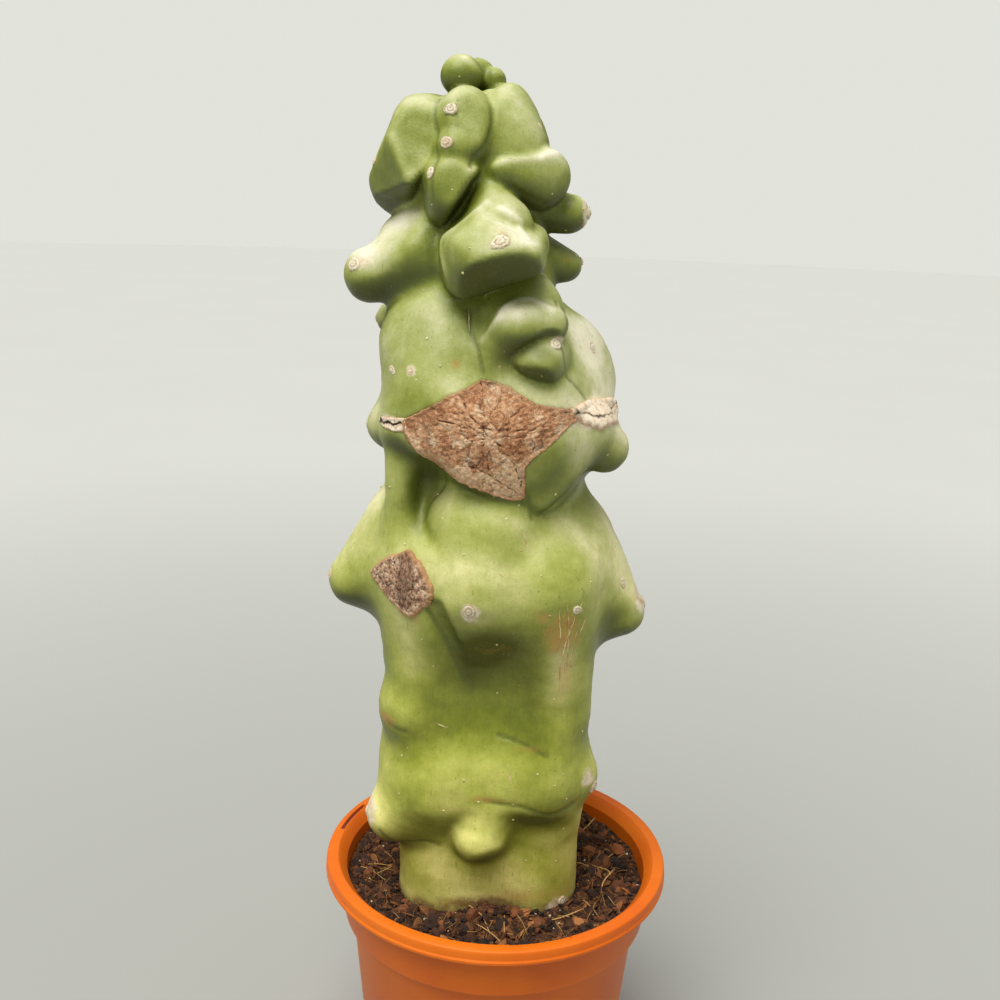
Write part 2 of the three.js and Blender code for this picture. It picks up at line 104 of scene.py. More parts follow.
camera_data = bpy.data.cameras.new("camera")
camera_data.lens = camera_data.sensor_width * FOCAL_LENGTH
camera_data.clip_start = 0.01
camera = bpy.data.objects.new("camera", camera_data)
bpy.context.scene.collection.objects.link(camera)
camera.matrix_world = Matrix.Translation(CAMERA_PLACE) @ Matrix.Rotation(
    math.pi / 2 - LOOKS_DOWN, 4, "X") @ Matrix.Rotation(HELD_OFF_LEVEL, 4, "Z")
bpy.context.scene.camera = camera

world = bpy.data.worlds.new("pale_air")
bpy.context.scene.world = world
world.use_nodes = True
tree = world.node_tree
tree.nodes.clear()
high = add(tree, "SeparateXYZ", {0: add(tree, "TexCoord", out="Generated")}, "Z")
overhead = add(tree, "MapRange", {"Value": high, "From Min": 0.0, "From Max": 1.0,
                                  "To Min": 0.05, "To Max": 0.95})
seen = add(tree, "LightPath", out="Is Camera Ray")
strength = add(tree, "Mix", {0: seen, 2: overhead, 3: 0.86})
air = add(tree, "Background", {"Color": "#F1F2EA", "Strength": strength})
add(tree, "OutputWorld", {"Surface": air})

only()
bpy.ops.object.light_add(type="SUN", rotation=(math.radians(22), math.radians(-12), 0))
lamp = bpy.context.object
lamp.name = lamp.data.name = "soft_daylight"
lamp.data.energy = 3.1
lamp.data.angle = math.radians(38)
lamp.data.color = (1.0, 0.985, 0.94)

only()
bpy.ops.mesh.primitive_circle_add(vertices=96, radius=9, fill_type="NGON")
floor = bpy.context.object
floor.name = "floor"
paper, tree, at = new_material("matt_grey_paper")
grain = add(tree, "TexNoise", {"Vector": at, "Scale": 3})
# Painted shade: the paper is darker near the pot and grows paler out to 1.6 metres away.
away = add(tree, "VectorMath", {0: at}, "Value", operation="LENGTH")
away = add(tree, "MapRange", {"Value": away, "From Min": 0.2, "From Max": 1.6},
           interpolation_type="SMOOTHSTEP")
tint = add(tree, "Mix", {0: away, 6: "#A1A29F", 7: "#BEBFBD"}, 2, data_type="RGBA")
grain = add(tree, "Math", {0: grain, 1: 0.08}, operation="MULTIPLY")
tint = add(tree, "Mix", {0: grain, 6: tint, 7: "#8C8D8A"}, 2, data_type="RGBA")
surface_of(tree, tint, 0.9)
floor.data.materials.append(paper)

# POT. A nursery pot of polypropylene, moulded in one shot: a tapered wall that steps out
# to a tall collar and a rolled rim, with a slot and a shallow label seat in the rim's top
# and nine drain holes in the raised floor. It is turned from one profile and then cut.
DRAIN_RING, DRAIN_RADIUS = 32, 4.5
pot_outside = [
    (0, 4), (44.5, 4), (46.5, 0), (59.5, 0), (60.9, 0.6), (61.5, 2), (71.6, 104.4), (72.2, 105.2),
    (75.2, 105.6), (75.6, 106.6), (76.6, 131), (77.4, 133.1), (82.4, 133.1), (82.7, 128.1),
    (84.3, 127.8), (85, 128.6), (85, 129.7), (84.4, 130.5), (84.6, 133.4), (84.2, 134.5), (83.2, 135)]
pot_inside = [
    (79, 135), (78.3, 134.5), (76.4, 132.4), (74.7, 130), (73.8, 107.4), (69.8, 104.6), (59.7, 4),
    (57.9, 2), (47.7, 2), (45.7, 6), (0, 6)]


def turned(name, profile, steps, start=0, sweep=360):
    """A profile of (radius, height) in millimetres, spun about the upright axis, in degrees."""
    start, whole = math.radians(start), sweep == 360
    only()
    bpy.ops.mesh.primitive_circle_add(vertices=len(profile), radius=0.01)
    made = bpy.context.object
    made.name = made.data.name = name
    for vertex, (r, z) in zip(made.data.vertices, profile):
        vertex.co = (r * math.cos(start) / 1000, r * math.sin(start) / 1000, z / 1000)
    bpy.ops.object.mode_set(mode="EDIT")
    bpy.ops.mesh.select_all(action="SELECT")
    if profile[0][0] == 0:
        bpy.ops.mesh.select_mode(type="EDGE")
        bpy.ops.object.mode_set(mode="OBJECT")
        for e in made.data.edges:
            e.select = all(abs(made.data.vertices[v].co.x) < 1e-6 for v in e.vertices)
        bpy.ops.object.mode_set(mode="EDIT")
        bpy.ops.mesh.delete(type="EDGE")
        bpy.ops.mesh.select_all(action="SELECT")
    if not whole:
        bpy.ops.mesh.edge_face_add()
    bpy.ops.mesh.spin(steps=steps, angle=math.radians(sweep), center=(0, 0, 0), axis=(0, 0, 1))
    bpy.ops.mesh.select_all(action="SELECT")
    bpy.ops.mesh.remove_doubles(threshold=1e-6)
    bpy.ops.mesh.normals_make_consistent(inside=False)
    bpy.ops.object.mode_set(mode="OBJECT")
    made.matrix_world = Matrix.Identity(4)
    return made


def cut_out(body, tool):
    """Cuts a tool out of a body and throws the tool away."""
    only(body)
    cut = body.modifiers.new("cut", "BOOLEAN")
    cut.operation, cut.object, cut.solver = "DIFFERENCE", tool, "EXACT"
    bpy.ops.object.modifier_apply(modifier="cut")
    bpy.data.objects.remove(tool)


pot = turned("nursery_pot", pot_outside + pot_inside, 160)
cut_out(pot, turned("slot", [(79.4, 132.2), (81.4, 132.2), (81.4, 137), (79.4, 137)], 24, 171, 19))
cut_out(pot, turned("seat", [(77, 133.8), (80, 133.8), (80, 137), (77, 137)], 24, 296, 21))
for x, y in [(0, 0)] + [(math.cos(a), math.sin(a)) for a in np.arange(8) * math.pi / 4]:
    only()
    bpy.ops.mesh.primitive_cylinder_add(vertices=40, radius=DRAIN_RADIUS / 1000, depth=0.02,
                                        location=(DRAIN_RING * x / 1000, DRAIN_RING * y / 1000, 0.005))
    cut_out(pot, bpy.context.object)
only(pot)
bevel = pot.modifiers.new("edges", "BEVEL")
bevel.width, bevel.segments, bevel.limit_method, bevel.angle_limit = 0.00035, 2, "ANGLE", math.radians(38)
bpy.ops.object.modifier_apply(modifier="edges")
bpy.ops.object.shade_smooth_by_angle(angle=math.radians(32))


def veil(tree, ground, tint, value, between, much):
    """Lays a tint over the colours below it: so much where the value is at each of two limits."""
    much = add(tree, "MapRange", {"Value": value, "From Min": between[0], "From Max": between[1],
                                  "To Min": much[0], "To Max": much[1]})
    return add(tree, "Mix", {0: much, 6: ground, 7: tint}, 2, data_type="RGBA")


# Polypropylene: satin, a little cloudy in its orange, with fine turning marks from the
# mould, faint rubs where pots were stacked, and specks of soil dust.
plastic, tree, at = new_material("moulded_orange_polypropylene")
cloud = add(tree, "TexNoise", {"Vector": at, "Scale": 1 / 0.035, "Detail": 3})
speck = add(tree, "TexNoise", {"Vector": at, "Scale": 1 / 0.0016, "Detail": 3, "Roughness": 0.7})
rings = add(tree, "Mapping", {"Vector": at, "Scale": (1 / 0.06, 1 / 0.06, 1 / 0.0011)})
rings = add(tree, "TexNoise", {"Vector": rings, "Scale": 1, "Detail": 2})
scuffs = add(tree, "Mapping", {"Vector": at, "Scale": (1 / 0.0016, 1 / 0.0016, 1 / 0.03)})
scuffs = add(tree, "TexNoise", {"Vector": scuffs, "Scale": 1, "Detail": 3, "Roughness": 0.7})
orange = add(tree, "ValToRGB", {0: cloud}, stops=[(0.3, "#D66008"), (0.5, "#DE6A0C"), (0.7, "#E57413")])
orange = veil(tree, orange, "#EE9450", scuffs, (0.64, 0.78), (0.0, 0.2))
orange = veil(tree, orange, "#8A4A22", speck, (0.66, 0.74), (0.0, 0.55))
gloss = add(tree, "MapRange", {"Value": cloud, "From Min": 0.3, "From Max": 0.7,
                               "To Min": 0.38, "To Max": 0.50})
height = add(tree, "Math", {0: rings, 1: 0.7, 2: speck}, operation="MULTIPLY_ADD")
surface_of(tree, orange, gloss, (height, 0.22, 0.00012), **{
    "IOR": 1.49, "Specular IOR Level": 0.3, "Subsurface Weight": 0.05, "Subsurface Scale": 0.003,
    "Subsurface Radius": (1.0, 0.35, 0.1)})
pot.data.materials.clear()
pot.data.materials.append(plastic)
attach(pot, "root")
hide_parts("pot")

# SOIL. A coarse potting mix of peat, coir and bark, filled to 11 mm below the rim and
# pushed up a little against the stem in front. The crust is the CAD solid's own top,
# divided finely and roughened into crumbs.
SOIL_LEVEL, SOIL_EDGE = 123.5, 73.9
foot_middle, foot_flats, foot_round = (-3.8, 1), (19.3, 15.5), 24
mounds = [
    (1, -42, 5.5, 13, 7), (50, -14, 4.5, 8, 8), (-58, -6, -4, 11, 12), (66, 4, -3.5, 10, 12),
    (-46, 46, 3, 14, 12), (30, 56, 2.5, 16, 10), (-30, -58, 2, 14, 8), (38, -50, 1.5, 12, 9)]


def ripple(p, size, seed, waves=14):
    """A smooth unevenness from about -1 to 1, with lumps of that size in millimetres."""
    draw = np.random.default_rng(seed)
    turn = draw.normal(size=(waves, 3))
    turn *= (2 * math.pi / (size * draw.uniform(0.8, 1.7, waves)) / np.linalg.norm(turn, axis=1))[:, None]
    phase = draw.uniform(0, 2 * math.pi, waves)
    return np.sin(np.asarray(p, np.float32) @ turn.T.astype(np.float32) + phase).sum(1) / math.sqrt(waves)


def soil_height(x, y):
    """The height of the crust over a place, in millimetres."""
    z = SOIL_LEVEL + 1.1 * np.sin(x / 7.3 + 0.8) * np.cos(y / 8.9) + 0.8 * np.sin(x / 4.6 - y / 5.7 + 2)
    for cx, cy, tall, wide, deep in mounds:
        z = z + tall * np.exp(-((x - cx) / wide) ** 2 - ((y - cy) / deep) ** 2)
    return z


def past_stem(x, y):
    """How far a place is outside the stem's foot, in millimetres."""
    qx, qy = [np.abs(a - middle) - flat for a, middle, flat in zip((x, y), foot_middle, foot_flats)]
    return np.hypot(np.maximum(qx, 0), np.maximum(qy, 0)) + np.minimum(np.maximum(qx, qy), 0) - foot_round


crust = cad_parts["soil"].copy()
crust.data = crust.data.copy()
crust.name = crust.data.name = "potting_mix"
bpy.context.scene.collection.objects.link(crust)
crust.parent = None
for key in list(crust.keys()):
    del crust[key]
only(crust)
bpy.ops.object.mode_set(mode="EDIT")
bpy.ops.mesh.select_all(action="SELECT")
bpy.ops.mesh.remove_doubles(threshold=1e-5)
bpy.ops.mesh.select_all(action="DESELECT")
bpy.ops.object.mode_set(mode="OBJECT")
for face in crust.data.polygons:
    face.select = face.normal.z > 0.35 and face.center.z > 0.116
for _ in range(4):
    bpy.ops.object.mode_set(mode="EDIT")
    bpy.ops.mesh.select_mode(type="FACE")
    bpy.ops.mesh.subdivide(number_cuts=1, quadcorner="INNERVERT")
    bpy.ops.object.mode_set(mode="OBJECT")
p = np.array([v.co for v in crust.data.vertices]) * 1000
x, y, z = p.T
past, level = past_stem(x, y), soil_height(x, y)
free = np.clip((SOIL_EDGE - np.hypot(x, y)) / 1.2, 0, 1) * np.clip(past - 0.3, 0, 1)
flat = p * (1, 1, 0)
crumbly = (0.75 * ripple(flat, 7, 31) + 0.55 * np.abs(ripple(flat, 3.2, 32)) + 0.35 * ripple(flat, 1.7, 33)
           - 1.1 * np.exp(-((past - 1.2) / 1.4) ** 2))
p[:, 2] = np.where((z > level - 2.5) & (free > 0), level + free * crumbly, z)
for vertex, here in zip(crust.data.vertices, p / 1000):
    vertex.co = here
crust.data.shade_smooth()

# Peat and coir: dark brown when damp, matt, with rusty fibre dust and black peat in it.
potting_mix, tree, at = new_material("damp_peat_and_coir")
lumps = add(tree, "TexNoise", {"Vector": at, "Scale": 1 / 0.006, "Detail": 5, "Roughness": 0.75})
dust = add(tree, "TexNoise", {"Vector": at, "Scale": 1 / 0.0009, "Detail": 3, "Roughness": 0.8})
shade = add(tree, "Math", {0: dust, 1: 0.9, 2: lumps}, operation="MULTIPLY_ADD")
brown = add(tree, "ValToRGB", {0: shade}, stops=[
    (0.62, "#0F0804"), (0.82, "#22130A"), (0.98, "#402410"), (1.0, "#6E4320")])
surface_of(tree, brown, 0.95, (shade, 0.9, 0.0012))
crust.data.materials.clear()
crust.data.materials.append(potting_mix)
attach(crust, "root")
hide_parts("soil")

# LITTER ON THE SOIL. Crumbs and clods of peat, bark chips, coir and straw fibres and pale
# grit. A few of each are modelled from a primitive, and every copy of them has its own size,
# turn and tone.
lay = random.Random(11)


def free_place(margin, edge):
    """A random place on the crust, clear of the wall and of the stem."""
    while True:
        r, a = edge * math.sqrt(lay.random()), lay.uniform(0, 2 * math.pi)
        x, y = r * math.cos(a), r * math.sin(a)
        if past_stem(x, y) > margin:
            return x, y


def lump(subdivisions, seed, rough):
    """The rough shape of a crumb or chip: an icosphere with its corners pushed about."""
    only()
    bpy.ops.mesh.primitive_ico_sphere_add(subdivisions=subdivisions, radius=1)
    shape = bpy.context.object
    push = random.Random(seed)
    for vertex in shape.data.vertices:
        vertex.co *= 1 + push.uniform(-rough, rough)
    return shape


def mesh_of(name, points, faces, smooth=True):
    """A mesh from points in millimetres and rings of their numbers, as an object."""
    mesh = bpy.data.meshes.new(name)
    mesh.from_pydata((np.asarray(points, float) / 1000).tolist(), [], faces)
    mesh.update()
    made = bpy.data.objects.new(name, mesh)
    bpy.context.scene.collection.objects.link(made)
    if smooth:
        mesh.shade_smooth()
    return made


def paint(made, name, values):
    """Keeps a number for each vertex, which the material reads by that name."""
    layer = made.data.attributes.new(name, "FLOAT", "POINT")
    layer.data.foreach_set("value", np.asarray(values, np.float32))


def strewn(name, shapes, number, size, squash, tone, material, sunk, stick_out=0.0, smooth=False):
    """Lays copies of some shapes on the crust as one loose heap of that name."""
    points, faces, tones = [], [], []
    for _ in range(number):
        shape = lay.choice(shapes)
        length = lay.uniform(*size)
        scale = [length / 2 * lay.uniform(*s) for s in squash]
        x, y = free_place(max(0.5, 0.4 * length), SOIL_EDGE - 0.5 - 0.5 * length)
        lean = Matrix.Rotation(lay.uniform(0, 2 * math.pi), 4, "Z")
        for axis in "XY":
            lean = lean @ Matrix.Rotation(lay.gauss(0, 0.35 + stick_out), 4, axis)
        z = float(soil_height(x, y)) + 0.4 + scale[2] * (1 - 2 * sunk)
        base = len(points)
        for vertex in shape.data.vertices:
            here = lean @ Vector([c * s for c, s in zip(vertex.co, scale)]) + Vector((x, y, z))
            points.append(tuple(here))
        faces += [tuple(base + v for v in f.vertices) for f in shape.data.polygons]
        tones += [lay.uniform(*tone)] * len(shape.data.vertices)
    heap = mesh_of(name, points, faces, smooth)
    paint(heap, "tone", tones)
    heap.data.materials.append(material)
    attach(heap, "root")


def fibre(seed, steps=7):
    """A thin strand: a small square, extruded step by step and then bent, with narrowed ends."""
    only()
    bpy.ops.mesh.primitive_circle_add(vertices=4, radius=1, fill_type="NGON", rotation=(0, math.pi / 2, 0))
    bpy.ops.object.transform_apply(location=False, rotation=True, scale=False)
    strand = bpy.context.object
    bpy.ops.object.mode_set(mode="EDIT")
    bpy.ops.mesh.select_all(action="SELECT")
    bpy.ops.transform.translate(value=(-1, 0, 0))
    for _ in range(steps):
        bpy.ops.mesh.extrude_region_move(TRANSFORM_OT_translate={"value": (2 / steps, 0, 0)})
    bpy.ops.mesh.select_all(action="SELECT")
    bpy.ops.mesh.normals_make_consistent(inside=False)
    bpy.ops.object.mode_set(mode="OBJECT")
    bends = random.Random(seed)
    a, b, c, d = [bends.uniform(-1, 1) for _ in range(4)]
    for vertex in strand.data.vertices:
        s, y, z = vertex.co
        narrowed = 0.5 if abs(s) > 0.98 else 1
        vertex.co.y = y * narrowed + 9 * (a * s * s + b * math.sin(3 * s) * 0.6)
        vertex.co.z = z + 6 * (c * (s * s - 0.5) + d * math.sin(2.4 * s) * 0.5)
    return strand


def toned(name, low, middle, high, grain):
    """A dry plant or mineral stuff whose tone differs from piece to piece."""
    stuff, tree, at = new_material(name)
    fine = add(tree, "TexNoise", {"Vector": at, "Scale": 1 / grain, "Detail": 3, "Roughness": 0.7})
    tone = add(tree, "Attribute", out="Fac", attribute_name="tone")
    tone = add(tree, "Math", {0: fine, 1: 0.5, 2: tone}, operation="MULTIPLY_ADD")
    tone = add(tree, "Math", {0: tone, 1: 0.25}, operation="SUBTRACT")
    tint = add(tree, "ValToRGB", {0: tone}, stops=[
        (0.0, low), (0.5, middle), (1.0, high)])
    surface_of(tree, tint, 0.88, (fine, 0.7, 0.0004))
    return stuff


crumbs = [lump(1, seed, 0.28) for seed in range(4)]
chips = [lump(2, seed, 0.16) for seed in range(20, 24)]
strands = [fibre(seed) for seed in range(50, 57)]

# Peat: crumbs and fibrous clods, black to red brown. Bark: pine bark broken to flakes, brown
# to tan. Coir and straw: thin hard fibres, rusty to straw yellow. Grit: pale mineral grains.
strewn("peat_crumbs", crumbs, 1250, (1.2, 3.8), ((0.8, 1.2), (0.6, 1.0), (0.5, 0.9)), (0, 1),
       toned("crumbled_peat", "#140B06", "#341D0E", "#7C4822", 0.0009), sunk=0.25, stick_out=0.5)
strewn("bark_chips", chips, 190, (4.0, 9.5), ((0.9, 1.1), (0.35, 0.7), (0.12, 0.24)), (0, 1),
       toned("pine_bark_flakes", "#241309", "#573116", "#A66C3A", 0.0014), sunk=0.15, stick_out=0.15)
strewn("peat_clods", chips, 75, (4.5, 9.0), ((0.8, 1.1), (0.7, 1.0), (0.5, 0.8)), (0, 1),
       toned("fibrous_peat_clods", "#160C06", "#472613", "#8C5229", 0.0012), sunk=0.3, stick_out=0.4)
coir = toned("coir_and_straw_fibre", "#3A1F0E", "#74461F", "#D0A868", 0.002)
strewn("coir_fibres", strands, 560, (6, 17), ((0.9, 1.1), (0.016, 0.026), (0.016, 0.026)), (0, 0.85), coir,
       sunk=-2.0, stick_out=0.25, smooth=True)
strewn("straw_strands", strands, 26, (11, 24), ((0.9, 1.1), (0.022, 0.034), (0.022, 0.034)), (0.8, 1), coir,
       sunk=-3.5, stick_out=0.3, smooth=True)
strewn("pale_grit", crumbs, 150, (0.6, 1.5), ((0.8, 1.2), (0.7, 1.1), (0.6, 1.0)), (0.3, 1),
       toned("mineral_grit", "#8F7B5C", "#C9B78F", "#E9DFC6", 0.0007), sunk=0.1)
for shape in crumbs + chips + strands:
    bpy.data.objects.remove(shape)

# STEM. A columnar cactus of the totem pole kind, whose ribs broke up into knobs and folds
# as it grew, so it is one solid body without spines. Its form is the sum of the swellings
# that the CAD solid has, in millimetres, drawn here on a mesh of 1.5 mm.
STEM_STEP = 1.5
CREASE_DEEP, RIDGE_HIGH = 0.7, 0.8
swellings = [
    # Column.
    ("block", -3.8, 1, 135, 43.6, 39.5, 48, 24, 0),
    ("block", -7.2, 1, 224, 46.5, 41, 46, 27, 34),
    ("ball", -5, 0, 284, 52, 50, 46, 26),
    ("ball", -7.5, 0, 345, 43, 43, 42, 22),
    ("ball", -12, -2, 388, 40, 42, 32, 20),
    ("ball", -18, -2, 425, 32, 30, 36, 16),
    ("ball", -24, -1, 466, 29, 25, 28, 12),
    # Lower column ribs.
    ("limb", -34, -30, 290, 17, -36, -28, 230, 15.5, 12),
    ("ball", -43.5, -26, 223, 11.5, 15, 12, 11),
    ("limb", 19, -36, 288, 19, 25, -28, 226, 15, 12),
    ("limb", -40, 28, 272, 16, -41, 27, 200, 14, 10),
    ("limb", 24, 28, 270, 16, 25, 26, 200, 14, 10),
    ("groove", -10, -54, 262, 18, -8, -50, 212, 9.5, 8),
    ("hollow", -8, 62, 232, 14, 24, 30, 12),
    # Lower ring.
    ("limb", -26, -20.5, 190, 24, 11, -22, 193, 24, 24),
    ("facet", -8, -44, 184, 0.0, -0.25, -0.97, 3),
    ("ball", 19, -27, 192, 16, 18, 15, 6),
    ("facet", 19, -43, 182, 0.1, -0.3, -0.95, 3),
    ("limb", -29, -24, 184, 22, -48, -25, 168, 14.5, 8),
    ("facet", -42, -38, 157, 0.1, -0.35, -0.93, 3),
    ("facet", -26, -44, 170, 0.75, -0.3, -0.6, 4),
    ("limb", -4, -30, 182, 15, -7.5, -41, 165, 12, 6),
    ("facet", -8, -49, 157.5, 0.35, -0.55, -0.76, 3),
    ("limb", 16, -22, 196, 18, 35.5, -24, 190, 10, 8),
    ("limb", 24, 0, 196, 16, 31, 2, 184, 12, 10),
    ("limb", -30, 24, 190, 18, -42, 33, 170, 12, 12),
    ("limb", 20, 24, 190, 18, 29, 33, 172, 12, 12),
    ("limb", -4, 32, 180, 14, -2, 46, 167, 9.5, 6),
    # Mid ring.
    ("ball", -7, -2, 286, 53, 54, 40, 20),
    ("limb", -40, -4, 302, 26, -68, -8, 279, 14.5, 16),
    ("facet", -66, -16, 268, 0.1, -0.45, -0.9, 6),
    ("limb", 25, -4, 293, 24, 52.5, -9, 268, 13, 14),
    ("facet", 55, -16, 256, -0.1, -0.45, -0.9, 6),
    ("ball", -12, -18, 287, 28, 45, 38, 6),
    ("facet", -12, -60.5, 279, -0.1, -0.75, -0.65, 4),
    ("limb", -10, -40, 294, 18, -8, -44, 268, 14, 5),
    ("facet", -8, -61, 278.5, 0.08, -0.77, -0.64, 3),
    ("facet", -24, -54, 280, -0.8, -0.5, -0.33, 3),
    ("groove", -31.5, -58.5, 281, 5, -12.5, -44.5, 236, 5.5, 3),
    ("limb", -4, 28, 302, 28, 2, 56, 277, 13, 14),
    ("limb", -34, 28, 300, 20, -50, 42, 282, 12, 12),
    ("limb", 30, 26, 294, 20, 44, 40, 272, 12, 12),
    # Upper ring.
    ("limb", -38, -4, 364, 20, -55.5, -6, 352, 10, 8),
    ("limb", 20, -6, 366, 22, 42, -8, 345, 10.5, 8),
    ("ball", -10, -18, 358, 48, 42, 46, 8),
    ("facet", -11, -57.5, 363, 0, -0.87, 0.48, 6),
    ("facet", -11, -57.5, 354, 0.02, -0.985, -0.17, 6),
    ("facet", -45, -45, 352, -0.45, -0.88, -0.05, 6),
    ("facet", -30, -48, 342, -0.5, -0.3, -0.81, 4),
    ("limb", -44, -32, 357, 8, -54, -14, 353, 8, 5),
    ("limb", -47, -28, 350, 8, -47.5, -26, 300, 8, 6),
    ("limb", 30, -26, 357, 14, 41, -19, 347.5, 11, 4),
    ("limb", 29, -31, 356, 13, 12, -42, 330, 7, 3),
    ("facet", 24, -44, 345, 0.35, -0.93, -0.1, 3),
    ("hollow", -35, -55, 327, 12, 27, 21, 4),
    ("ball", -9, -20, 309, 31, 36.5, 30, 4),
    ("limb", -30, 24, 364, 18, -45, 38, 352, 10, 8),
    ("limb", 14, 24, 366, 20, 28, 40, 349, 10, 8),
    ("limb", -10, 28, 370, 16, -9, 47, 357, 9, 6),
    # Upper body.
    ("ball", -33, -10, 388, 26.5, 33, 34, 6),
    ("facet", -40, -40.5, 388, -0.42, -0.88, 0.2, 4),
    ("ball", 16, 4, 371, 31, 30, 36, 6),
    ("facet", 33, -18, 385, 0.8, -0.5, 0.33, 6),
    ("ball", 0, -25, 402, 21, 23, 24, 3),
    ("facet", 3, -44, 410, 0.1, -0.8, 0.6, 3),
    ("facet", -8, -44.5, 397, -0.47, -0.88, -0.08, 2.5),
    ("facet", -3, -45, 401, 0.45, -0.5, -0.74, 2),
    ("facet", 18, -38, 402, 0.9, -0.4, 0.1, 2),
    ("limb", -13, -37, 384, 7, 0, -45, 402, 9.5, 5),
    ("limb", 0, -45, 402, 9.5, 13.5, -40, 403, 8.5, 3),
    ("groove", -4, -55, 384, 6, 17, -54, 394.5, 9.5, 1),
    ("ball", 9.5, -28, 388, 14.5, 27, 16, 2),
    ("facet", 9, -51, 394, 0.15, -0.7, 0.7, 3),
    ("facet", 9, -54.5, 386.5, -0.15, -0.62, -0.77, 2),
    ("facet", 5, -44, 381, -0.6, -0.2, -0.77, 3),
    ("ball", -10, 20, 392, 27, 24, 26, 8),
    ("limb", -22, 20, 406, 15, -26, 40, 396, 9.5, 6),
    ("limb", 8, 20, 396, 17, 13, 38, 388, 9, 8),
    # Neck.
    ("ball", -44, -8, 430, 18, 24, 19, 8),
    ("facet", -50, -20, 440, -0.6, -0.5, 0.62, 4),
    ("limb", -38, -14, 424, 16, -63, -13, 419, 12, 5),
    ("facet", -60, -23, 414, 0.1, -0.7, -0.7, 3),
    ("limb", -38, 12, 405, 10, -56, 16, 398, 8, 4),
    ("limb", 4, -2, 449, 10, 22, -4, 447.5, 8.5, 3),
    ("limb", 4, 3, 428, 13, 22, 4, 425, 7, 3),
    ("limb", -15, -24, 462, 3, -9, -30, 440, 15, 2),
    ("ball", -9, -32, 431, 26, 31, 25, 2),
    ("facet", -9, -62, 430.5, 0.2, -0.66, -0.72, 1.5),
    ("facet", -10, -58, 440, -0.2, -0.78, 0.6, 4),
    ("facet", -22, -45, 443.5, -0.65, -0.2, 0.73, 3),
    ("facet", -9, -40, 445.5, 0.4, -0.2, 0.9, 3),
    ("facet", 10.5, -45, 438, 0.98, -0.1, 0.1, 4),
    ("facet", -22, -45, 411, 0.39, 0.2, -0.9, 3),
    ("facet", -30, -45, 425, -0.97, -0.25, -0.05, 4),
    ("limb", -14, 12, 438, 19, -11, 34, 427, 12, 4),
    ("facet", -12, 40, 420, 0.2, 0.6, -0.75, 3),
    ("limb", -34, 8, 446, 12, -46, 22, 442, 9, 6),
    ("limb", -34, 12, 424, 15, -48, 32, 416, 9.5, 6),
    # Head.
    ("ball", -40, -4, 466, 27, 30, 29, 3),
    ("facet", -60, -3, 476, -0.87, -0.15, 0.37, 3),
    ("facet", -60, -3, 476, -0.78, 0.5, 0.37, 6),
    ("facet", -45, -27, 470, -0.15, -0.96, 0.25, 2),
    ("facet", -47.5, -30, 460, -0.75, -0.66, -0.15, 2),
    ("facet", -54, -22, 455.5, -0.2, -0.42, -0.88, 1),
    ("facet", -49, -28, 450, 0.81, -0.1, -0.58, 2),
    ("ball", -6, -4, 472, 18, 26, 28, 4),
    ("facet", 1, -27, 472, 0.22, -0.93, 0.28, 3),
    ("facet", 2, -22, 484, 0.45, -0.72, 0.52, 4),
    ("facet", 7, -8, 488, 0.8, -0.2, 0.56, 4),
    ("ball", -24, -14, 478, 14.5, 24, 20, 3),
    ("facet", -24, -33.5, 480, 0.1, -0.95, 0.3, 2),
    ("facet", -31, -33, 478, -0.8, -0.6, 0.1, 2),
    ("ball", -28, -28, 471, 8, 9.5, 8.5, 3),
    ("facet", -24, -35, 466.5, 0.1, -0.3, -0.95, 1),
    ("limb", -8, -26, 463.5, 6.5, 8, -14, 462, 13, 2),
    ("facet", 2, -30, 462, 0.4, -0.9, -0.15, 4),
    ("facet", 0, -26, 471.5, -0.1, -0.4, 0.91, 2),
    ("ball", -28, -24, 456, 14, 19, 17, 2),
    ("facet", -25, -38, 452, 0.84, -0.1, -0.53, 2),
    ("facet", -38, -36, 456, -0.97, -0.2, -0.15, 2),
    ("facet", -30, -41, 458, 0.05, -0.98, 0.1, 2),
    ("ball", -34, 10, 472, 20, 21, 22, 3),
    ("ball", -12, 12, 471, 18, 20, 24, 3),
    ("limb", -22, 18, 464, 9, -20, 31, 455, 7, 3),
    ("ball", -26.5, -4, 502.5, 8.8, 8.6, 8.6, 1.5),
    ("ball", -20, 4, 503, 7.8, 7.8, 7.8, 1.5),
    ("ball", -13, 0, 501, 4.8, 4.8, 6, 1.5),
    ("ball", -14.5, -10, 493.5, 3.4, 3.4, 3.8, 1.5),
]


def met(a, b, reach):
    """The lesser of two distances, with the corner between them filled over that reach."""
    h = np.maximum(reach - np.abs(a - b), 0) / reach
    return np.minimum(a, b) - h * h * reach * 0.25


def one_swelling(p, row):
    """The distance from points to one ball, limb or block."""
    kind, values = row[0], np.float32(row[1:])
    if kind in ("ball", "hollow"):
        q = (p - values[:3]) / values[3:6]
        far = np.sqrt((q * q).sum(1)) + 1e-9
        return far * (far - 1) / (np.sqrt(((q / values[3:6]) ** 2).sum(1)) + 1e-9)
    if kind == "block":
        q = np.abs(p - values[:3]) - values[3:6] + values[6]
        return np.sqrt((np.maximum(q, 0) ** 2).sum(1)) + np.minimum(q.max(1), 0) - values[6]
    start, r0, end, r1 = values[:3], values[3], values[4:7], values[7]
    length = np.linalg.norm(end - start)
    axis = (end - start) / length
    q = p - start
    along = q @ axis
    across = np.sqrt(np.maximum((q * q).sum(1) - along * along, 0))
    taper = (r0 - r1) / length
    s = np.clip(along - across * taper / math.sqrt(1 - taper * taper), 0, length)
    return np.sqrt(across ** 2 + (along - s) ** 2) - (r0 + (r1 - r0) * s / length)


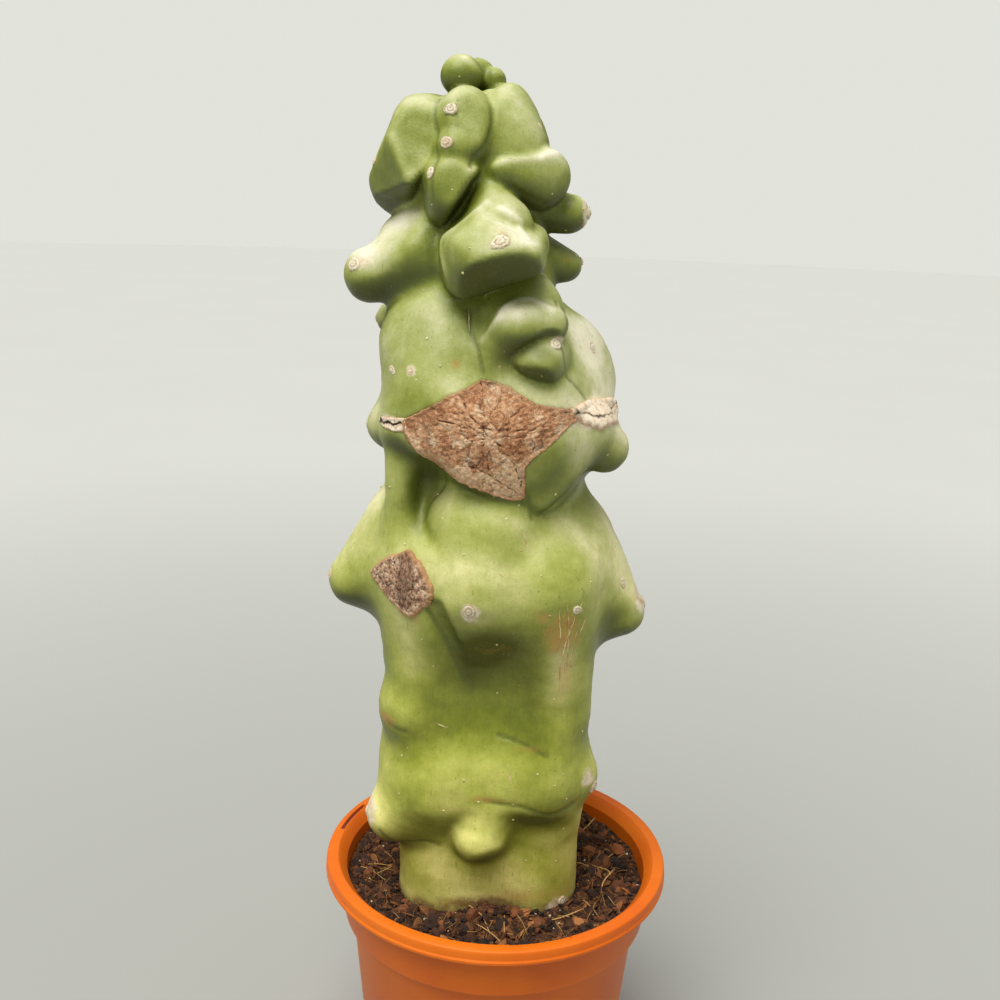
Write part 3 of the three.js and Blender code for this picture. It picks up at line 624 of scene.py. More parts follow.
def depth(p):
    """How far points are outside the stem, in millimetres, below zero inside it."""
    p = np.asarray(p, np.float32)
    whole = part = None
    for row in swellings:
        if row[0] == "facet":
            normal = np.float32(row[4:7]) / np.linalg.norm(row[4:7])
            part = -met(-part, -((p - np.float32(row[1:4])) @ normal), row[7])
            continue
        if part is not None:
            whole = part if whole is None else met(whole, part, reach)
            part = None
        if row[0] in ("hollow", "groove"):
            whole = -met(-whole, one_swelling(p, row), row[-1])
        else:
            part, reach = one_swelling(p, row), row[-1]
    return whole if part is None else met(whole, part, reach)


def slope(p, h=0.5):
    """The direction straight out of the stem at points on its skin."""
    n = np.stack([depth(p + np.float32(e) * h) - depth(p - np.float32(e) * h) for e in np.eye(3)], 1)
    return n / (np.linalg.norm(n, axis=1, keepdims=True) + 1e-9)


def onto_skin(p, passes=8):
    """Moves points straight onto the skin."""
    p = np.array(p, np.float32)
    for _ in range(passes):
        p = p - slope(p) * np.clip(depth(p), -3, 3)[:, None]
    return p


def net_of(step):
    """The skin as a net of four-sided faces: one vertex in each box that the skin crosses."""
    low, size, coarse = np.float32((-93, -77, 83)), (174, 154, 432), 4
    count = [coarse * math.ceil(s / step / coarse) for s in size]
    axes = [low[i] + step * coarse * np.arange(count[i] // coarse) for i in range(3)]
    rough = depth(np.stack(np.meshgrid(*axes, indexing="ij"), -1).reshape(-1, 3))
    rough = rough.reshape([len(a) for a in axes])
    d = rough.repeat(coarse, 0).repeat(coarse, 1).repeat(coarse, 2)
    near = np.stack(np.nonzero(np.abs(d) < 2.2 * step * coarse), 1)
    d[tuple(near.T)] = depth(low + near.astype(np.float32) * step)
    for _ in range(3):
        for a, b in ((0, 1), (1, 2), (0, 2)):
            parts = []
            for i, j in ((0, 0), (1, 0), (1, 1), (0, 1)):
                cut = [slice(None)] * 3
                cut[a] = slice(i, d.shape[a] - 1 + i)
                cut[b] = slice(j, d.shape[b] - 1 + j)
                parts.append(d[tuple(cut)])
            crossed = ((parts[0] < 0) == (parts[2] < 0)) & ((parts[1] < 0) == (parts[3] < 0)) & (
                (parts[0] < 0) != (parts[1] < 0))
            for part in parts:
                part[crossed & (part >= 0)] = -0.01
    inside = d < 0
    filled = sum(inside[i:d.shape[0] - 1 + i, j:d.shape[1] - 1 + j, k:d.shape[2] - 1 + k].astype(int)
                 for i in (0, 1) for j in (0, 1) for k in (0, 1))
    boxes = np.stack(np.nonzero((filled > 0) & (filled < 8)), 1)
    number = np.full(filled.shape, -1)
    number[tuple(boxes.T)] = np.arange(len(boxes))
    total, hits = np.zeros((len(boxes), 3)), np.zeros(len(boxes))
    for axis in range(3):
        for i in (0, 1):
            for j in (0, 1):
                a = np.insert((i, j), axis, 0)
                b = np.insert((i, j), axis, 1)
                da, db = d[tuple((boxes + a).T)], d[tuple((boxes + b).T)]
                cut = (da < 0) != (db < 0)
                t = da / np.where(cut, da - db, 1)
                total += np.where(cut[:, None], a + t[:, None] * (b - a), 0)
                hits += cut
    points = low + step * (boxes + total / hits[:, None]).astype(np.float32)
    faces = []
    for axis in range(3):
        u, v = np.eye(3, dtype=int)[(axis + 1) % 3], np.eye(3, dtype=int)[(axis + 2) % 3]
        ahead = [slice(None)] * 3
        ahead[axis] = slice(1, None)
        behind = [slice(None)] * 3
        behind[axis] = slice(None, -1)
        n = np.stack(np.nonzero(inside[tuple(ahead)] != inside[tuple(behind)]), 1)
        ring = np.stack([number[tuple((n - s).T)] for s in (u + v, v, 0 * u, u)], 1)
        outward = inside[tuple(n.T)]
        faces.append(np.where(outward[:, None], ring, ring[:, ::-1]))
    for _ in range(3):
        move = np.clip(depth(points), -0.5 * step, 0.5 * step)
        points = points - slope(points) * move[:, None]
    return points, np.concatenate(faces)


def distance_to_line(p, line):
    """The distance from points to a bent line."""
    best = np.full(len(p), 1e3)
    for a, b in zip(np.float32(line[:-1]), np.float32(line[1:])):
        t = np.clip(((p - a) @ (b - a)) / ((b - a) @ (b - a)), 0, 1)
        best = np.minimum(best, np.linalg.norm(p - a - t[:, None] * (b - a), axis=1))
    return best


def laid(line):
    """A bent line laid over the skin, in steps of about two millimetres."""
    line = np.float32(line)
    run = np.concatenate(([0], np.cumsum(np.linalg.norm(np.diff(line, axis=0), axis=1))))
    at = np.linspace(0, run[-1], max(3, int(run[-1] / 2)))
    return onto_skin(np.stack([np.interp(at, run, line[:, i]) for i in range(3)], 1))


points, faces = net_of(STEM_STEP)
normals = slope(points)
tight = 1 - np.clip(depth(points + normals * 5) / 5, 0, 1)
wide = 1 - np.clip(depth(points + normals * 16) / 16, 0, 1)
edge = 1 - np.clip(-depth(points - normals * 7) / 7, 0, 1)

# Lines of the skin, from the top down: in a crease two folds meet and the skin is drawn
# in, and the material darkens it there as painted shade; along a ridge it stands up thin and
# is painted pale as a highlight.
creases = [
    [(-5, -30, 458), (4, -24, 454), (10, -22, 452)],
    [(16, -36, 412), (18, -45, 397), (21, -43, 386), (31, -36, 372)],
    [(-35, -15, 493), (-35, -28, 479), (-34, -36, 467), (-35, -39, 452)],
    [(-13, -24, 489), (-14, -32, 475), (-21, -37, 465)],
    [(-37, -35, 315), (-34, -33, 324), (-29, -37, 337)],
    [(8, -49, 331), (10, -46, 321)],
    [(35, -24, 338), (29, -26, 329), (21, -35, 323), (15, -40, 322)],
    [(-20, -37, 408), (-19, -41, 400), (-14, -45, 391), (-13, -47, 383)],
    [(-34, -53, 282), (-27, -50, 269), (-21, -44, 254), (-16, -39, 242)],
    [(-1, -42, 218), (9, -45, 216), (21, -46, 210)],
    [(-52, -39, 219.5), (-43, -44, 218.5)],
    [(-6, -49, 188), (10, -49, 186), (24, -45, 180), (36, -38, 182)],
    [(-55, -37, 164), (-47, -33, 156), (-34, -38, 161), (-27, -39, 159)]]
ridges = [
    [(-25, -10, 509), (-21, -10, 505), (-18, -7, 502)],
    [(-54, -24, 476), (-51, -26, 469), (-47, -29, 461)],
    [(-21, -38, 463), (-10, -31, 467), (8, -25, 470), (14, -20, 472)],
    [(-14, -39, 451), (-20, -43, 446), (-26, -43, 440), (-31, -38, 435), (-29, -45, 422)],
    [(-8, -42, 449), (0, -41, 444), (3, -53, 437)],
    [(-12, -45, 396), (-6, -51, 406), (0, -44, 412), (6, -42, 413), (14, -45, 409)]]
crease, ridge = [np.min([distance_to_line(points, laid(line)) for line in lines], axis=0)
                 for lines in (creases, ridges)]
ridge = np.exp(-(ridge / 2.0) ** 2)
points = points + normals * (RIDGE_HIGH * ridge - CREASE_DEEP * np.exp(-(crease / 1.2) ** 2))[:, None]
points = points + normals * (0.16 * ripple(points, 14, 1) + 0.09 * ripple(points, 6, 2)
                             + 0.25 * ripple(points, 32, 3))[:, None]

stem = mesh_of("stem_skin", points, faces.tolist())
paint(stem, "tight", tight)
paint(stem, "crease", crease)


def spotted(values, gather, spots):
    """Numbers for the points of the stem, with soft spots gathered into them. A spot is its
    middle, its three widths and how much it is there."""
    for spot in spots:
        middle, widths, much = np.float32(spot[:3]), np.float32(spot[3:6]), spot[6]
        values = gather(values, much * np.exp(-((points - middle) ** 2 / widths ** 2).sum(1)))
    return np.clip(values, 0, 1)


# The pale wax and painted light in one number: the wax is thick on what faces up or stands out
# and thin in folds and underneath, and the same number paints highlights on tops, edges and ridges,
# painted shade in folds and hollows, and paler or darker bands by height and in spots.
height = points[:, 2]
bloom = (0.36 + 0.60 * np.clip(normals[:, 2], -0.4, 1) + 0.30 * np.clip(edge - 0.1, 0, 1) - 0.42 * tight
         - 0.2 * wide + 0.12 * ripple(points, 26, 5) + 0.3 * ridge
         + np.interp(height, (120, 165, 195, 222, 250, 300, 350, 385, 440, 520),
                     (0.40, 0.36, 0.16, -0.06, 0.04, 0.12, 0.17, 0.02, -0.12, -0.18)))
paint(stem, "bloom", spotted(bloom, np.add, [
    (16, -30, 362, 22, 24, 12, 0.35), (42, -20, 368, 14, 25, 10, 0.45), (-44, -36, 392, 18, 16, 22, -0.05),
    (-14, -60, 292, 16, 12, 10, 0.15), (58, -20, 286, 16, 26, 14, 0.5), (-8, -52, 172, 9, 9, 7, -0.3),
    (-57, -24, 175, 9, 12, 8, 0.42), (25, -49, 250, 8, 14, 28, 0.7), (-41, -46, 258, 8, 12, 26, 0.5),
    (-24, 0, 503, 16, 16, 10, -0.3), (-10, -50, 446, 14, 14, 5, 0.15), (-60, -20, 427, 16, 16, 7, 0.45),
    (-6, -42, 222, 34, 14, 16, -0.15), (22, -51, 303, 16, 14, 14, -0.38), (-60, -20, 296, 14, 20, 10, 0.1),
    (-11, -62, 281, 9, 8, 6, 0.5), (-32, -45, 234, 8, 10, 12, -0.12), (-3, -54, 409, 12, 9, 6, 0.35),
    (34, -8, 393, 10, 14, 14, 0.45), (33, -37, 369, 10, 12, 4, 0.25), (20, -49, 348, 8, 8, 14, -0.2),
    (-34, -46, 306, 10, 10, 8, -0.3), (-41, -36, 314, 6, 10, 10, -0.4), (-50, -16, 444, 10, 12, 8, 0.5),
    (18, -46, 218, 12, 12, 14, -0.28), (-10, -56, 318, 20, 12, 8, -0.12),
    (-27, -36, 476, 12, 10, 14, -0.22), (-50, -26, 470, 12, 10, 10, -0.12),
    (-45, -33, 406, 12, 12, 10, -0.16), (12, -54, 391, 8, 8, 5, -0.2)]))

# Painted shade: undersides and the hollows are painted a deep, shaded green, darker still in
# spots under folds and knobs where shadow falls, and lifted in one spot on the neck.
under = np.clip(-1.45 * normals[:, 2] - 0.06, 0, 1) + 0.45 * np.clip(wide - 0.4, 0, 1)
paint(stem, "under", spotted(under, np.add, [
    (-37, -34, 329, 8, 14, 15, 0.55), (-7, -48, 262, 14, 14, 9, 0.4), (16, -46, 176, 14, 10, 5, 0.45),
    (-11, -57, 424, 20, 12, 5, 0.45), (9, -52, 393, 8, 12, 4, 0.6), (4, -55, 399, 7, 10, 4, 0.3),
    (-50, -16, 444, 10, 12, 8, -0.4), (-52, -36, 351, 8, 10, 5, 0.5), (-69, -23, 275, 14, 14, 5, 0.45),
    (55, -22, 272, 14, 14, 5, 0.5), (-16, -40, 245, 5, 8, 14, 0.35), (9, -55, 383, 12, 8, 3, 0.3)]))

# Rusty rubs, the brown line that wet soil leaves, and thin cork over old wounds.
paint(stem, "rust", spotted(0, np.maximum, [
    (25, -55, 272, 9, 20, 11, 0.95), (27, -50, 252, 6, 20, 20, 0.5), (15, -57, 281, 5, 14, 4, 0.7),
    (-6, -49, 189, 9, 12, 2.4, 0.75), (14, -46, 213, 11, 16, 2.0, 0.5), (-4, -52, 262, 11, 14, 6, 0.35),
    (-24, -46, 386, 2.0, 4, 2.6, 0.9), (-16, -56, 300, 2.0, 5, 1.8, 0.7), (-5, -58, 292, 2.0, 5, 1.6, 0.7),
    (34, -36, 130, 16, 12, 9, 0.5), (-12, -40, 127, 16, 12, 5, 0.9), (12, -42, 132, 22, 12, 6, 0.7),
    (-52, -38, 222, 6, 10, 4, 0.9), (22, -6, 428, 7, 8, 2, 0.4), (27, -4, 444, 5, 9, 3, 0.55),
    (-41, -50, 276, 6, 6, 4, 0.5)]))
soil_line = np.exp(-np.clip(height - 122, 0, 80) / 5.0) * (1.15 + 0.55 * ripple(points, 9, 8))
paint(stem, "soil_line", spotted(soil_line, np.add, [(-2, -42, 127, 16, 14, 4, 1.2)]))
paint(stem, "cork", spotted(0, np.maximum, [
    (64.5, -9, 277, 6, 16, 9, 0.95), (60, -22, 290, 5, 9, 6, 0.5), (29.5, -4, 449, 4.5, 9, 8, 0.8),
    (47, -10, 362, 10, 22, 6.5, 0.95), (34, -38, 364, 14, 12, 5.2, 0.9), (-50, -36, 359, 14, 14, 3.6, 0.8),
    (-65, -20, 425, 8, 9, 5, 0.65), (27, 5, 425, 3, 6, 4, 0.6), (-6, -58, 441, 9, 8, 4, 0.5),
    (-43, -40, 382, 3.2, 6, 3.4, 0.7), (17, -42, 397, 3.6, 6, 4, 0.8), (34, -11, 391, 4, 5, 5, 0.6),
    (-15, -62, 283, 5, 9, 5, 0.8), (41, -32, 193, 5, 9, 6, 0.7), (-59, -28, 170, 6, 9, 8, 0.9),
    (33, -36, 126, 9, 9, 5, 0.8), (24, -46, 275, 4, 8, 4, 0.5), (9, -18, 488, 3, 6, 5, 0.5)]))

# Cactus skin: a tough waxed rind. The wax is a pale bloom on what faces the light and thins
# to a fresh yellow green in the folds, and that paleness is also painted light, with painted
# shade mixed in under folds and along creases; rubs, old scars and splashed soil mark it.
rind, tree, at = new_material("waxed_cactus_rind")
patchy = add(tree, "TexNoise", {"Vector": at, "Scale": 1 / 0.030, "Detail": 4, "Roughness": 0.6})
mottle = add(tree, "TexNoise", {"Vector": at, "Scale": 1 / 0.005, "Detail": 3, "Roughness": 0.65})
grain = add(tree, "TexNoise", {"Vector": at, "Scale": 1 / 0.0011, "Detail": 2})
along = add(tree, "Mapping", {"Vector": at, "Scale": (1 / 0.0011, 1 / 0.0011, 1 / 0.016)})
streaks = add(tree, "TexNoise", {"Vector": along, "Scale": 1, "Detail": 2})
read = {name: add(tree, "Attribute", out="Fac", attribute_name=name)
        for name in ("bloom", "tight", "under", "crease", "rust", "soil_line", "cork")}
# Wax and painted light together: the bloom number, stirred by noise, sets how pale the green is.
waxed_and_painted_light = read["bloom"]
for part, share in ((patchy, 0.62), (mottle, 0.38), (streaks, 0.14), (0.57, -1)):
    waxed_and_painted_light = add(tree, "Math", {0: part, 1: share, 2: waxed_and_painted_light}, operation="MULTIPLY_ADD")
green = add(tree, "ValToRGB", {0: waxed_and_painted_light}, stops=[
    (0.0, "#6F7A2C"), (0.25, "#8B9440"), (0.5, "#A9B067"),
    (0.7, "#C1C38E"), (0.86, "#D8D6AF"), (1.0, "#EAE5CA")])
high = add(tree, "SeparateXYZ", {0: at}, "Z")
low_down = add(tree, "MapRange", {"Value": high, "From Min": 0.40, "From Max": 0.21})
green = add(tree, "Mix", {0: low_down, 6: green, 7: (1.0, 0.98, 0.46, 1)}, 2, data_type="RGBA",
            blend_type="MULTIPLY")
green = veil(tree, green, "#8C9733", read["tight"], (0.35, 0.9), (0.0, 0.55))
# Painted shade: undersides and hollows are mixed toward a dark olive.
shade = add(tree, "Math", {0: read["under"], 1: 0.84}, operation="MULTIPLY")
green = add(tree, "Mix", {0: shade, 6: green, 7: "#3C4018"}, 2, data_type="RGBA")
# Painted shade: the creases are darkened toward an olive green.
green = veil(tree, green, "#565F24", read["crease"], (0.3, 1.6), (0.6, 0.0))

# Small dark nicks and specks in the wax.
nick = add(tree, "TexVoronoi", {"Vector": at, "Scale": 1 / 0.0052, "Randomness": 1.0})
nick_spread = add(tree, "MapRange", {"Value": patchy, "From Min": 0.5, "From Max": 0.62,
                                     "To Min": 0.0, "To Max": 0.55})
green = veil(tree, green, "#5F6429", nick, (0.05, 0.13), (nick_spread, 0.0))

# Hair-fine scratches, where the wax was scraped off in short strokes or scraped up pale.
leaning = add(tree, "Mapping", {"Vector": at, "Rotation": (0.3, 0.9, 0.6),
                                "Scale": (1 / 0.0008, 1 / 0.0008, 1 / 0.006)})
stroke = add(tree, "TexNoise", {"Vector": leaning, "Scale": 1, "Detail": 1})
green = veil(tree, green, "#DEDFB4", stroke, (0.72, 0.80), (0.0, 0.2))
green = veil(tree, green, "#6B7030", stroke, (0.24, 0.30), (0.45, 0.0))

# Rusty rubs, drawn out downwards, and the brown that wet soil leaves at the foot.
rubbed = add(tree, "Math", {0: streaks, 1: read["rust"]}, operation="MULTIPLY")
rubbed = add(tree, "Math", {0: rubbed, 1: mottle}, operation="MULTIPLY")
green = veil(tree, green, "#B98545", rubbed, (0.06, 0.22), (0.0, 0.7))
splashed = add(tree, "Math", {0: mottle, 1: read["soil_line"]}, operation="MULTIPLY")
green = veil(tree, green, "#7A5A33", splashed, (0.12, 0.42), (0.0, 0.85))

# Thin cork over old wounds: cream to pink, with a scalloped edge.
corked = add(tree, "Math", {0: mottle, 1: 0.5, 2: read["cork"]}, operation="MULTIPLY_ADD")
corked = add(tree, "MapRange", {"Value": corked, "From Min": 0.56, "From Max": 0.80,
                                "To Min": 0.0, "To Max": 0.92})
cork_tint = add(tree, "ValToRGB", {0: mottle}, stops=[
    (0.3, "#B99C7C"), (0.45, "#D9C6A6"), (0.62, "#EADFC9")])
surface = add(tree, "Mix", {0: corked, 6: green, 7: cork_tint}, 2, data_type="RGBA")
rough = add(tree, "MapRange", {"Value": waxed_and_painted_light, "From Min": 0.1, "From Max": 0.9,
                               "To Min": 0.40, "To Max": 0.62})
raised = grain
for part, share in ((streaks, 0.3), (mottle, 0.8), (corked, 0.7)):
    raised = add(tree, "Math", {0: part, 1: share, 2: raised}, operation="MULTIPLY_ADD")
surface_of(tree, surface, rough, (raised, 0.5, 0.0003), **{
    "IOR": 1.45, "Subsurface Weight": 0.05, "Subsurface Scale": 0.004,
    "Subsurface Radius": (1.0, 0.9, 0.35)})
stem.data.materials.append(rind)
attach(stem, "root")
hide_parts("cactus_stem")

# CORK. Where the skin was once torn the plant closed it with dry brown cork: a wide
# diamond across the upper fold, a smaller one on the left arm and two split seams. Each is
# a thin crust that has grown onto the skin, cracked as it dried, with a raised tan lip.
CRUST_THICK, BORDER_SUNK = 1.4, 0.9


def onto_skin_along(p, ray, reach=14):
    """Slides points along a direction until they meet the skin."""
    p = np.array(p, np.float32) - np.float32(ray) * reach
    gone = np.zeros(len(p), np.float32)
    for _ in range(18):
        step = np.clip(depth(p) * 0.9, -1.5, 6)
        step = np.where(gone > 2.6 * reach, 0, step)
        p, gone = p + np.float32(ray) * step[:, None], gone + step
    return p


def ways_from(place, h=0.5):
    """From a place on the skin, the way straight out, the way sideways and the way up along it."""
    outward = slope(place, h)[0]
    side = np.cross((0, 0, 1), outward)
    side = side / np.linalg.norm(side)
    return outward, side, np.cross(outward, side)


def let_down(middle, outward, side, rise, border):
    """Lets the green skin down beneath a crust, so that it never shows through."""
    q = points - middle
    u, v = q @ side, q @ rise
    near = (np.abs(q @ outward) < 16) & (np.hypot(u, v) < np.linalg.norm(border, axis=1).max()) & (
        normals @ outward > -0.2)
    place = np.nonzero(near)[0]
    u, v = u[place], v[place]
    inside = np.zeros(len(place), bool)
    for (x0, y0), (x1, y1) in zip(border, np.roll(border, -1, 0)):
        if y0 != y1:
            inside ^= ((y0 > v) != (y1 > v)) & (u < (x1 - x0) * (v - y0) / (y1 - y0) + x0)
    from_edge = np.min([np.hypot(u - x, v - y) for x, y in border[::2]], axis=0)
    points[place] -= normals[place] * (1.5 * inside * np.clip(from_edge / 1.6, 0, 1))[:, None]
    stem.data.vertices.foreach_set("co", (points / 1000).ravel())
    stem.data.update()


def cork_crust(name, outline, cracks, material, seed, rings=44, around=320, lip=0.55, rough=0.26,
               lip_wide=0.6, plated=0.35, strip=None):
    """A crust inside an outline of points on the skin. It is laid out flat, in rings from its
    middle to the outline, and slid back onto the skin with its own relief: a lip, a roughness,
    plates and cracks, and a border that is sunk in. The strip is a paler band of it."""
    outline = np.float32(outline)
    middle = outline.mean(0)
    outward, side, rise = ways_from(onto_skin(middle[None]))
    flat = np.stack(((outline - middle) @ side, (outline - middle) @ rise), 1)
    loop = np.vstack((flat, flat[:1]))
    run = np.concatenate(([0], np.cumsum(np.linalg.norm(np.diff(loop, axis=0), axis=1))))
    at = np.linspace(0, run[-1], around, endpoint=False)
    border = np.stack([np.interp(at, run, loop[:, i]) for i in (0, 1)], 1)
    jag = ripple(np.stack((border[:, 0], border[:, 1], 0 * at), 1), 2.6, seed) * 0.35
    border = border * (1 + jag[:, None] / np.linalg.norm(border, axis=1, keepdims=True))
    reach = 1 - (1 - np.linspace(0, 1, rings + 1)[1:]) ** 1.25
    grid = (reach[:, None, None] * border[None]).reshape(-1, 2)
    grid = np.vstack((np.zeros((1, 2)), grid))
    from_edge = np.concatenate(([np.linalg.norm(border, axis=1).min()], (
        (1 - reach)[:, None] * np.linalg.norm(border, axis=1)[None]).ravel()))
    near = np.min([np.hypot(*(grid - b).T) for b in border[::3]], axis=0)
    from_edge = np.minimum(from_edge, near)
    p = middle + grid[:, :1] * side + grid[:, 1:] * rise
    p = onto_skin_along(p, -outward)
    n = slope(p)
    wander = np.float32(p + np.stack([ripple(p, 3.5, seed + 3 + i, 8) for i in range(3)], 1) * 0.45)
    crack = np.minimum(np.min([distance_to_line(wander, onto_skin(line)) for line in cracks], axis=0), 9)
    cells = np.random.default_rng(seed).uniform(-1, 1, (240, 3)) * (grid.ptp(0).max() / 2)
    cells = cells[:, :1] * side + cells[:, 1:2] * rise + middle
    cells = onto_skin_along(cells, -outward)
    wander = p + np.stack([ripple(p, 2.4, seed + 7 + i, 8) for i in range(3)], 1) * 0.5
    span = np.stack([np.linalg.norm(wander - c, axis=1) for c in cells], 1)
    first, second = np.sort(span, axis=1)[:, :2].T
    plate = second - first
    tone = np.random.default_rng(seed + 1).uniform(0, 1, len(cells))[span.argmin(1)]
    relief = (lip * np.exp(-((from_edge - 0.7) / lip_wide) ** 2) + 0.15
              + rough * (0.5 * ripple(p, 3.4, seed + 11) + 0.5 * ripple(p, 1.5, seed + 12))
              * np.clip(from_edge / 1.5, 0, 1)
              + plated * (0.5 * tone - np.exp(-(plate / 0.28) ** 2)) * np.clip(from_edge - 0.8, 0, 1)
              - 0.8 * np.exp(-(crack / 0.34) ** 2) * np.clip(from_edge - 0.3, 0, 1))
    relief = np.where(from_edge < 0.02, -BORDER_SUNK, relief)
    p = p + n * relief[:, None]
    let_down(middle, outward, side, rise, border)
    faces = [(0, 1 + i, 1 + (i + 1) % around) for i in range(around)]
    for start in range(1, 1 + (rings - 1) * around, around):
        for i in range(around):
            j = (i + 1) % around
            faces.append((start + i, start + around + i, start + around + j, start + j))
    crust = mesh_of(name, p, faces)
    pale = np.zeros(len(p)) if strip is None else np.exp(-(distance_to_line(p, laid(strip)) / 4.6) ** 4)
    for key, values in dict(from_edge=from_edge, crack=crack, plate=plate, pale=pale, tone=tone).items():
        paint(crust, key, values)
    only(crust)
    wall = crust.modifiers.new("wall", "SOLIDIFY")
    wall.thickness, wall.offset = CRUST_THICK / 1000, -1
    bpy.ops.object.modifier_apply(modifier="wall")
    crust.data.materials.append(material)
    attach(crust, "root")


# Dry cork: matt, in warm tans and browns like the inside of bark, darker in its cracks,
# greyer where it is old and a light orange tan along the lip.
dry_cork, tree, at = new_material("dry_wound_cork")
cloud = add(tree, "TexNoise", {"Vector": at, "Scale": 1 / 0.007, "Detail": 5, "Roughness": 0.7})
fleck = add(tree, "TexNoise", {"Vector": at, "Scale": 1 / 0.0014, "Detail": 3, "Roughness": 0.75})
scales = add(tree, "TexVoronoi", {"Vector": at, "Scale": 1 / 0.0022}, feature="DISTANCE_TO_EDGE")
read = {name: add(tree, "Attribute", out="Fac", attribute_name=name)
        for name in ("from_edge", "crack", "plate", "pale", "tone")}
from_middle = add(tree, "VectorMath", {0: at, 1: (-0.012, -0.044, 0.361)}, operation="SUBTRACT")
fan = add(tree, "VectorMath", {0: from_middle}, operation="NORMALIZE")
fan = add(tree, "TexNoise", {"Vector": fan, "Scale": 16, "Detail": 5, "Roughness": 0.7})
mixed = -0.175
for part, share in ((cloud, 0.75), (fleck, 0.6), (fan, 0.45), (read["tone"], 0.16), (read["pale"], 0.13)):
    mixed = add(tree, "Math", {0: part, 1: share, 2: mixed}, operation="MULTIPLY_ADD")
brown = add(tree, "ValToRGB", {0: mixed}, stops=[
    (0.54, "#70452D"), (0.66, "#A06B47"), (0.77, "#BD8860"), (0.88, "#D2A781"), (1.0, "#E1C7A8")])
strip_pale = add(tree, "Math", {0: read["pale"], 1: 0.55}, operation="MULTIPLY")
brown = add(tree, "Mix", {0: strip_pale, 6: brown, 7: "#DDB48A"}, 2, data_type="RGBA")
brown = veil(tree, brown, "#C4936A", read["from_edge"], (0.9, 2.2), (0.75, 0.0))
brown = veil(tree, brown, "#8A5630", read["from_edge"], (0.1, 0.5), (0.8, 0.0))
brown = veil(tree, brown, "#573620", scales, (0.0, 0.07), (0.35, 0.0))
brown = veil(tree, brown, "#4F2E1A", read["plate"], (0.05, 0.36), (0.6, 0.0))
brown = veil(tree, brown, "#472615", read["crack"], (0.12, 0.46), (0.88, 0.0))
raised = add(tree, "Math", {0: scales, 1: 1.5, 2: fleck}, operation="MULTIPLY_ADD")
surface_of(tree, brown, 0.85, (raised, 0.8, 0.0005))

# The wide diamond across the upper fold, with cracks that run out from its middle and a
# separate strip of cork along its lower left edge.
cork_crust("cork_wide", [
    (-13, -48, 381), (-19, -50, 377.5), (-28, -51, 373), (-36, -49, 368), (-44, -45, 363),
    (-47, -43, 360.5), (-45.5, -44, 355), (-39.5, -44, 348), (-32.5, -46, 342.5), (-23.5, -48, 338),
    (-15, -53, 335), (-7, -53, 332.5), (2, -52, 329.5), (6.6, -51, 330.5), (6.3, -52, 338),
    (6, -54, 344.5), (9, -54, 349), (15, -53, 353.5), (20, -51, 359), (24, -48, 362.5), (28, -44, 365),
    (25.5, -45, 368.5), (16, -50, 370.5), (9, -51, 372), (2, -50, 376), (-3, -49, 378.5), (-8, -48, 380)], [
    [(-12, -56, 361), (-13, -52, 372), (-13, -48, 380)],
    [(-12, -56, 361), (-7, -53, 370), (-3, -50, 377)],
    [(-12, -56, 361), (-3, -57, 361.5), (8, -54, 361), (20, -50, 363)],
    [(-12, -56, 361), (-5, -58, 354), (2, -57, 346), (5, -53, 336)],
    [(-12, -56, 361), (-12, -58, 352), (-9, -57, 343)],
    [(-12, -56, 361), (-17, -57, 356), (-18, -57, 348)],
    [(-12, -56, 361), (-19, -55, 368), (-21, -52, 374)],
    [(-21, -55, 367), (-21, -57, 359), (-17, -57, 356)],
    [(-12, -56, 361), (-22, -55, 362), (-33, -51, 364)],
    [(-38, -46, 350), (-28, -51, 345), (-18, -57, 345), (-8, -56, 341), (0, -54, 335), (5, -52, 332)],
    [(-3, -57, 361), (0, -56, 367), (5, -53, 372)], [(8, -54, 361), (9, -55, 353)]],
    dry_cork, seed=3, strip=[(-45, -45, 353), (-39, -45, 348.5), (-32, -46.5, 344.5), (-23, -50, 341),
                             (-14, -54, 338), (-6, -55, 336), (2, -53, 334), (0, -55, 344)])

# Pitted cork: older, greyer and duller, eaten by dark pits, with a thin orange tan lip.
pitted_cork, tree, at = new_material("old_pitted_cork")
cloud = add(tree, "TexNoise", {"Vector": at, "Scale": 1 / 0.0035, "Detail": 4, "Roughness": 0.7})
pits = add(tree, "TexVoronoi", {"Vector": at, "Scale": 1 / 0.0017})
wood = add(tree, "Mapping", {"Vector": at, "Scale": (1 / 0.0008, 1 / 0.0008, 1 / 0.007)})
wood = add(tree, "TexNoise", {"Vector": wood, "Scale": 1, "Detail": 3})
read = {name: add(tree, "Attribute", out="Fac", attribute_name=name)
        for name in ("from_edge", "crack", "plate", "pale")}
grey = add(tree, "ValToRGB", {0: cloud}, stops=[(0.36, "#7C5742"), (0.48, "#B08B6F"), (0.62, "#D9C0A2")])
trunk = add(tree, "ValToRGB", {0: wood}, stops=[(0.4, "#553828"), (0.62, "#9A7458")])
down = add(tree, "Math", {0: read["pale"], 1: 0.8}, operation="MULTIPLY")
grey = add(tree, "Mix", {0: down, 6: grey, 7: trunk}, 2, data_type="RGBA")
grey = veil(tree, grey, "#46291E", pits, (0.14, 0.36), (0.8, 0.0))
grey = veil(tree, grey, "#4A2C20", read["plate"], (0.1, 0.4), (0.6, 0.0))
grey = veil(tree, grey, "#371B12", read["crack"], (0.3, 0.8), (0.92, 0.0))
grey = veil(tree, grey, "#BE8E5E", read["from_edge"], (0.3, 0.9), (0.75, 0.0))
surface_of(tree, grey, 0.88, (pits, 0.7, 0.0006))

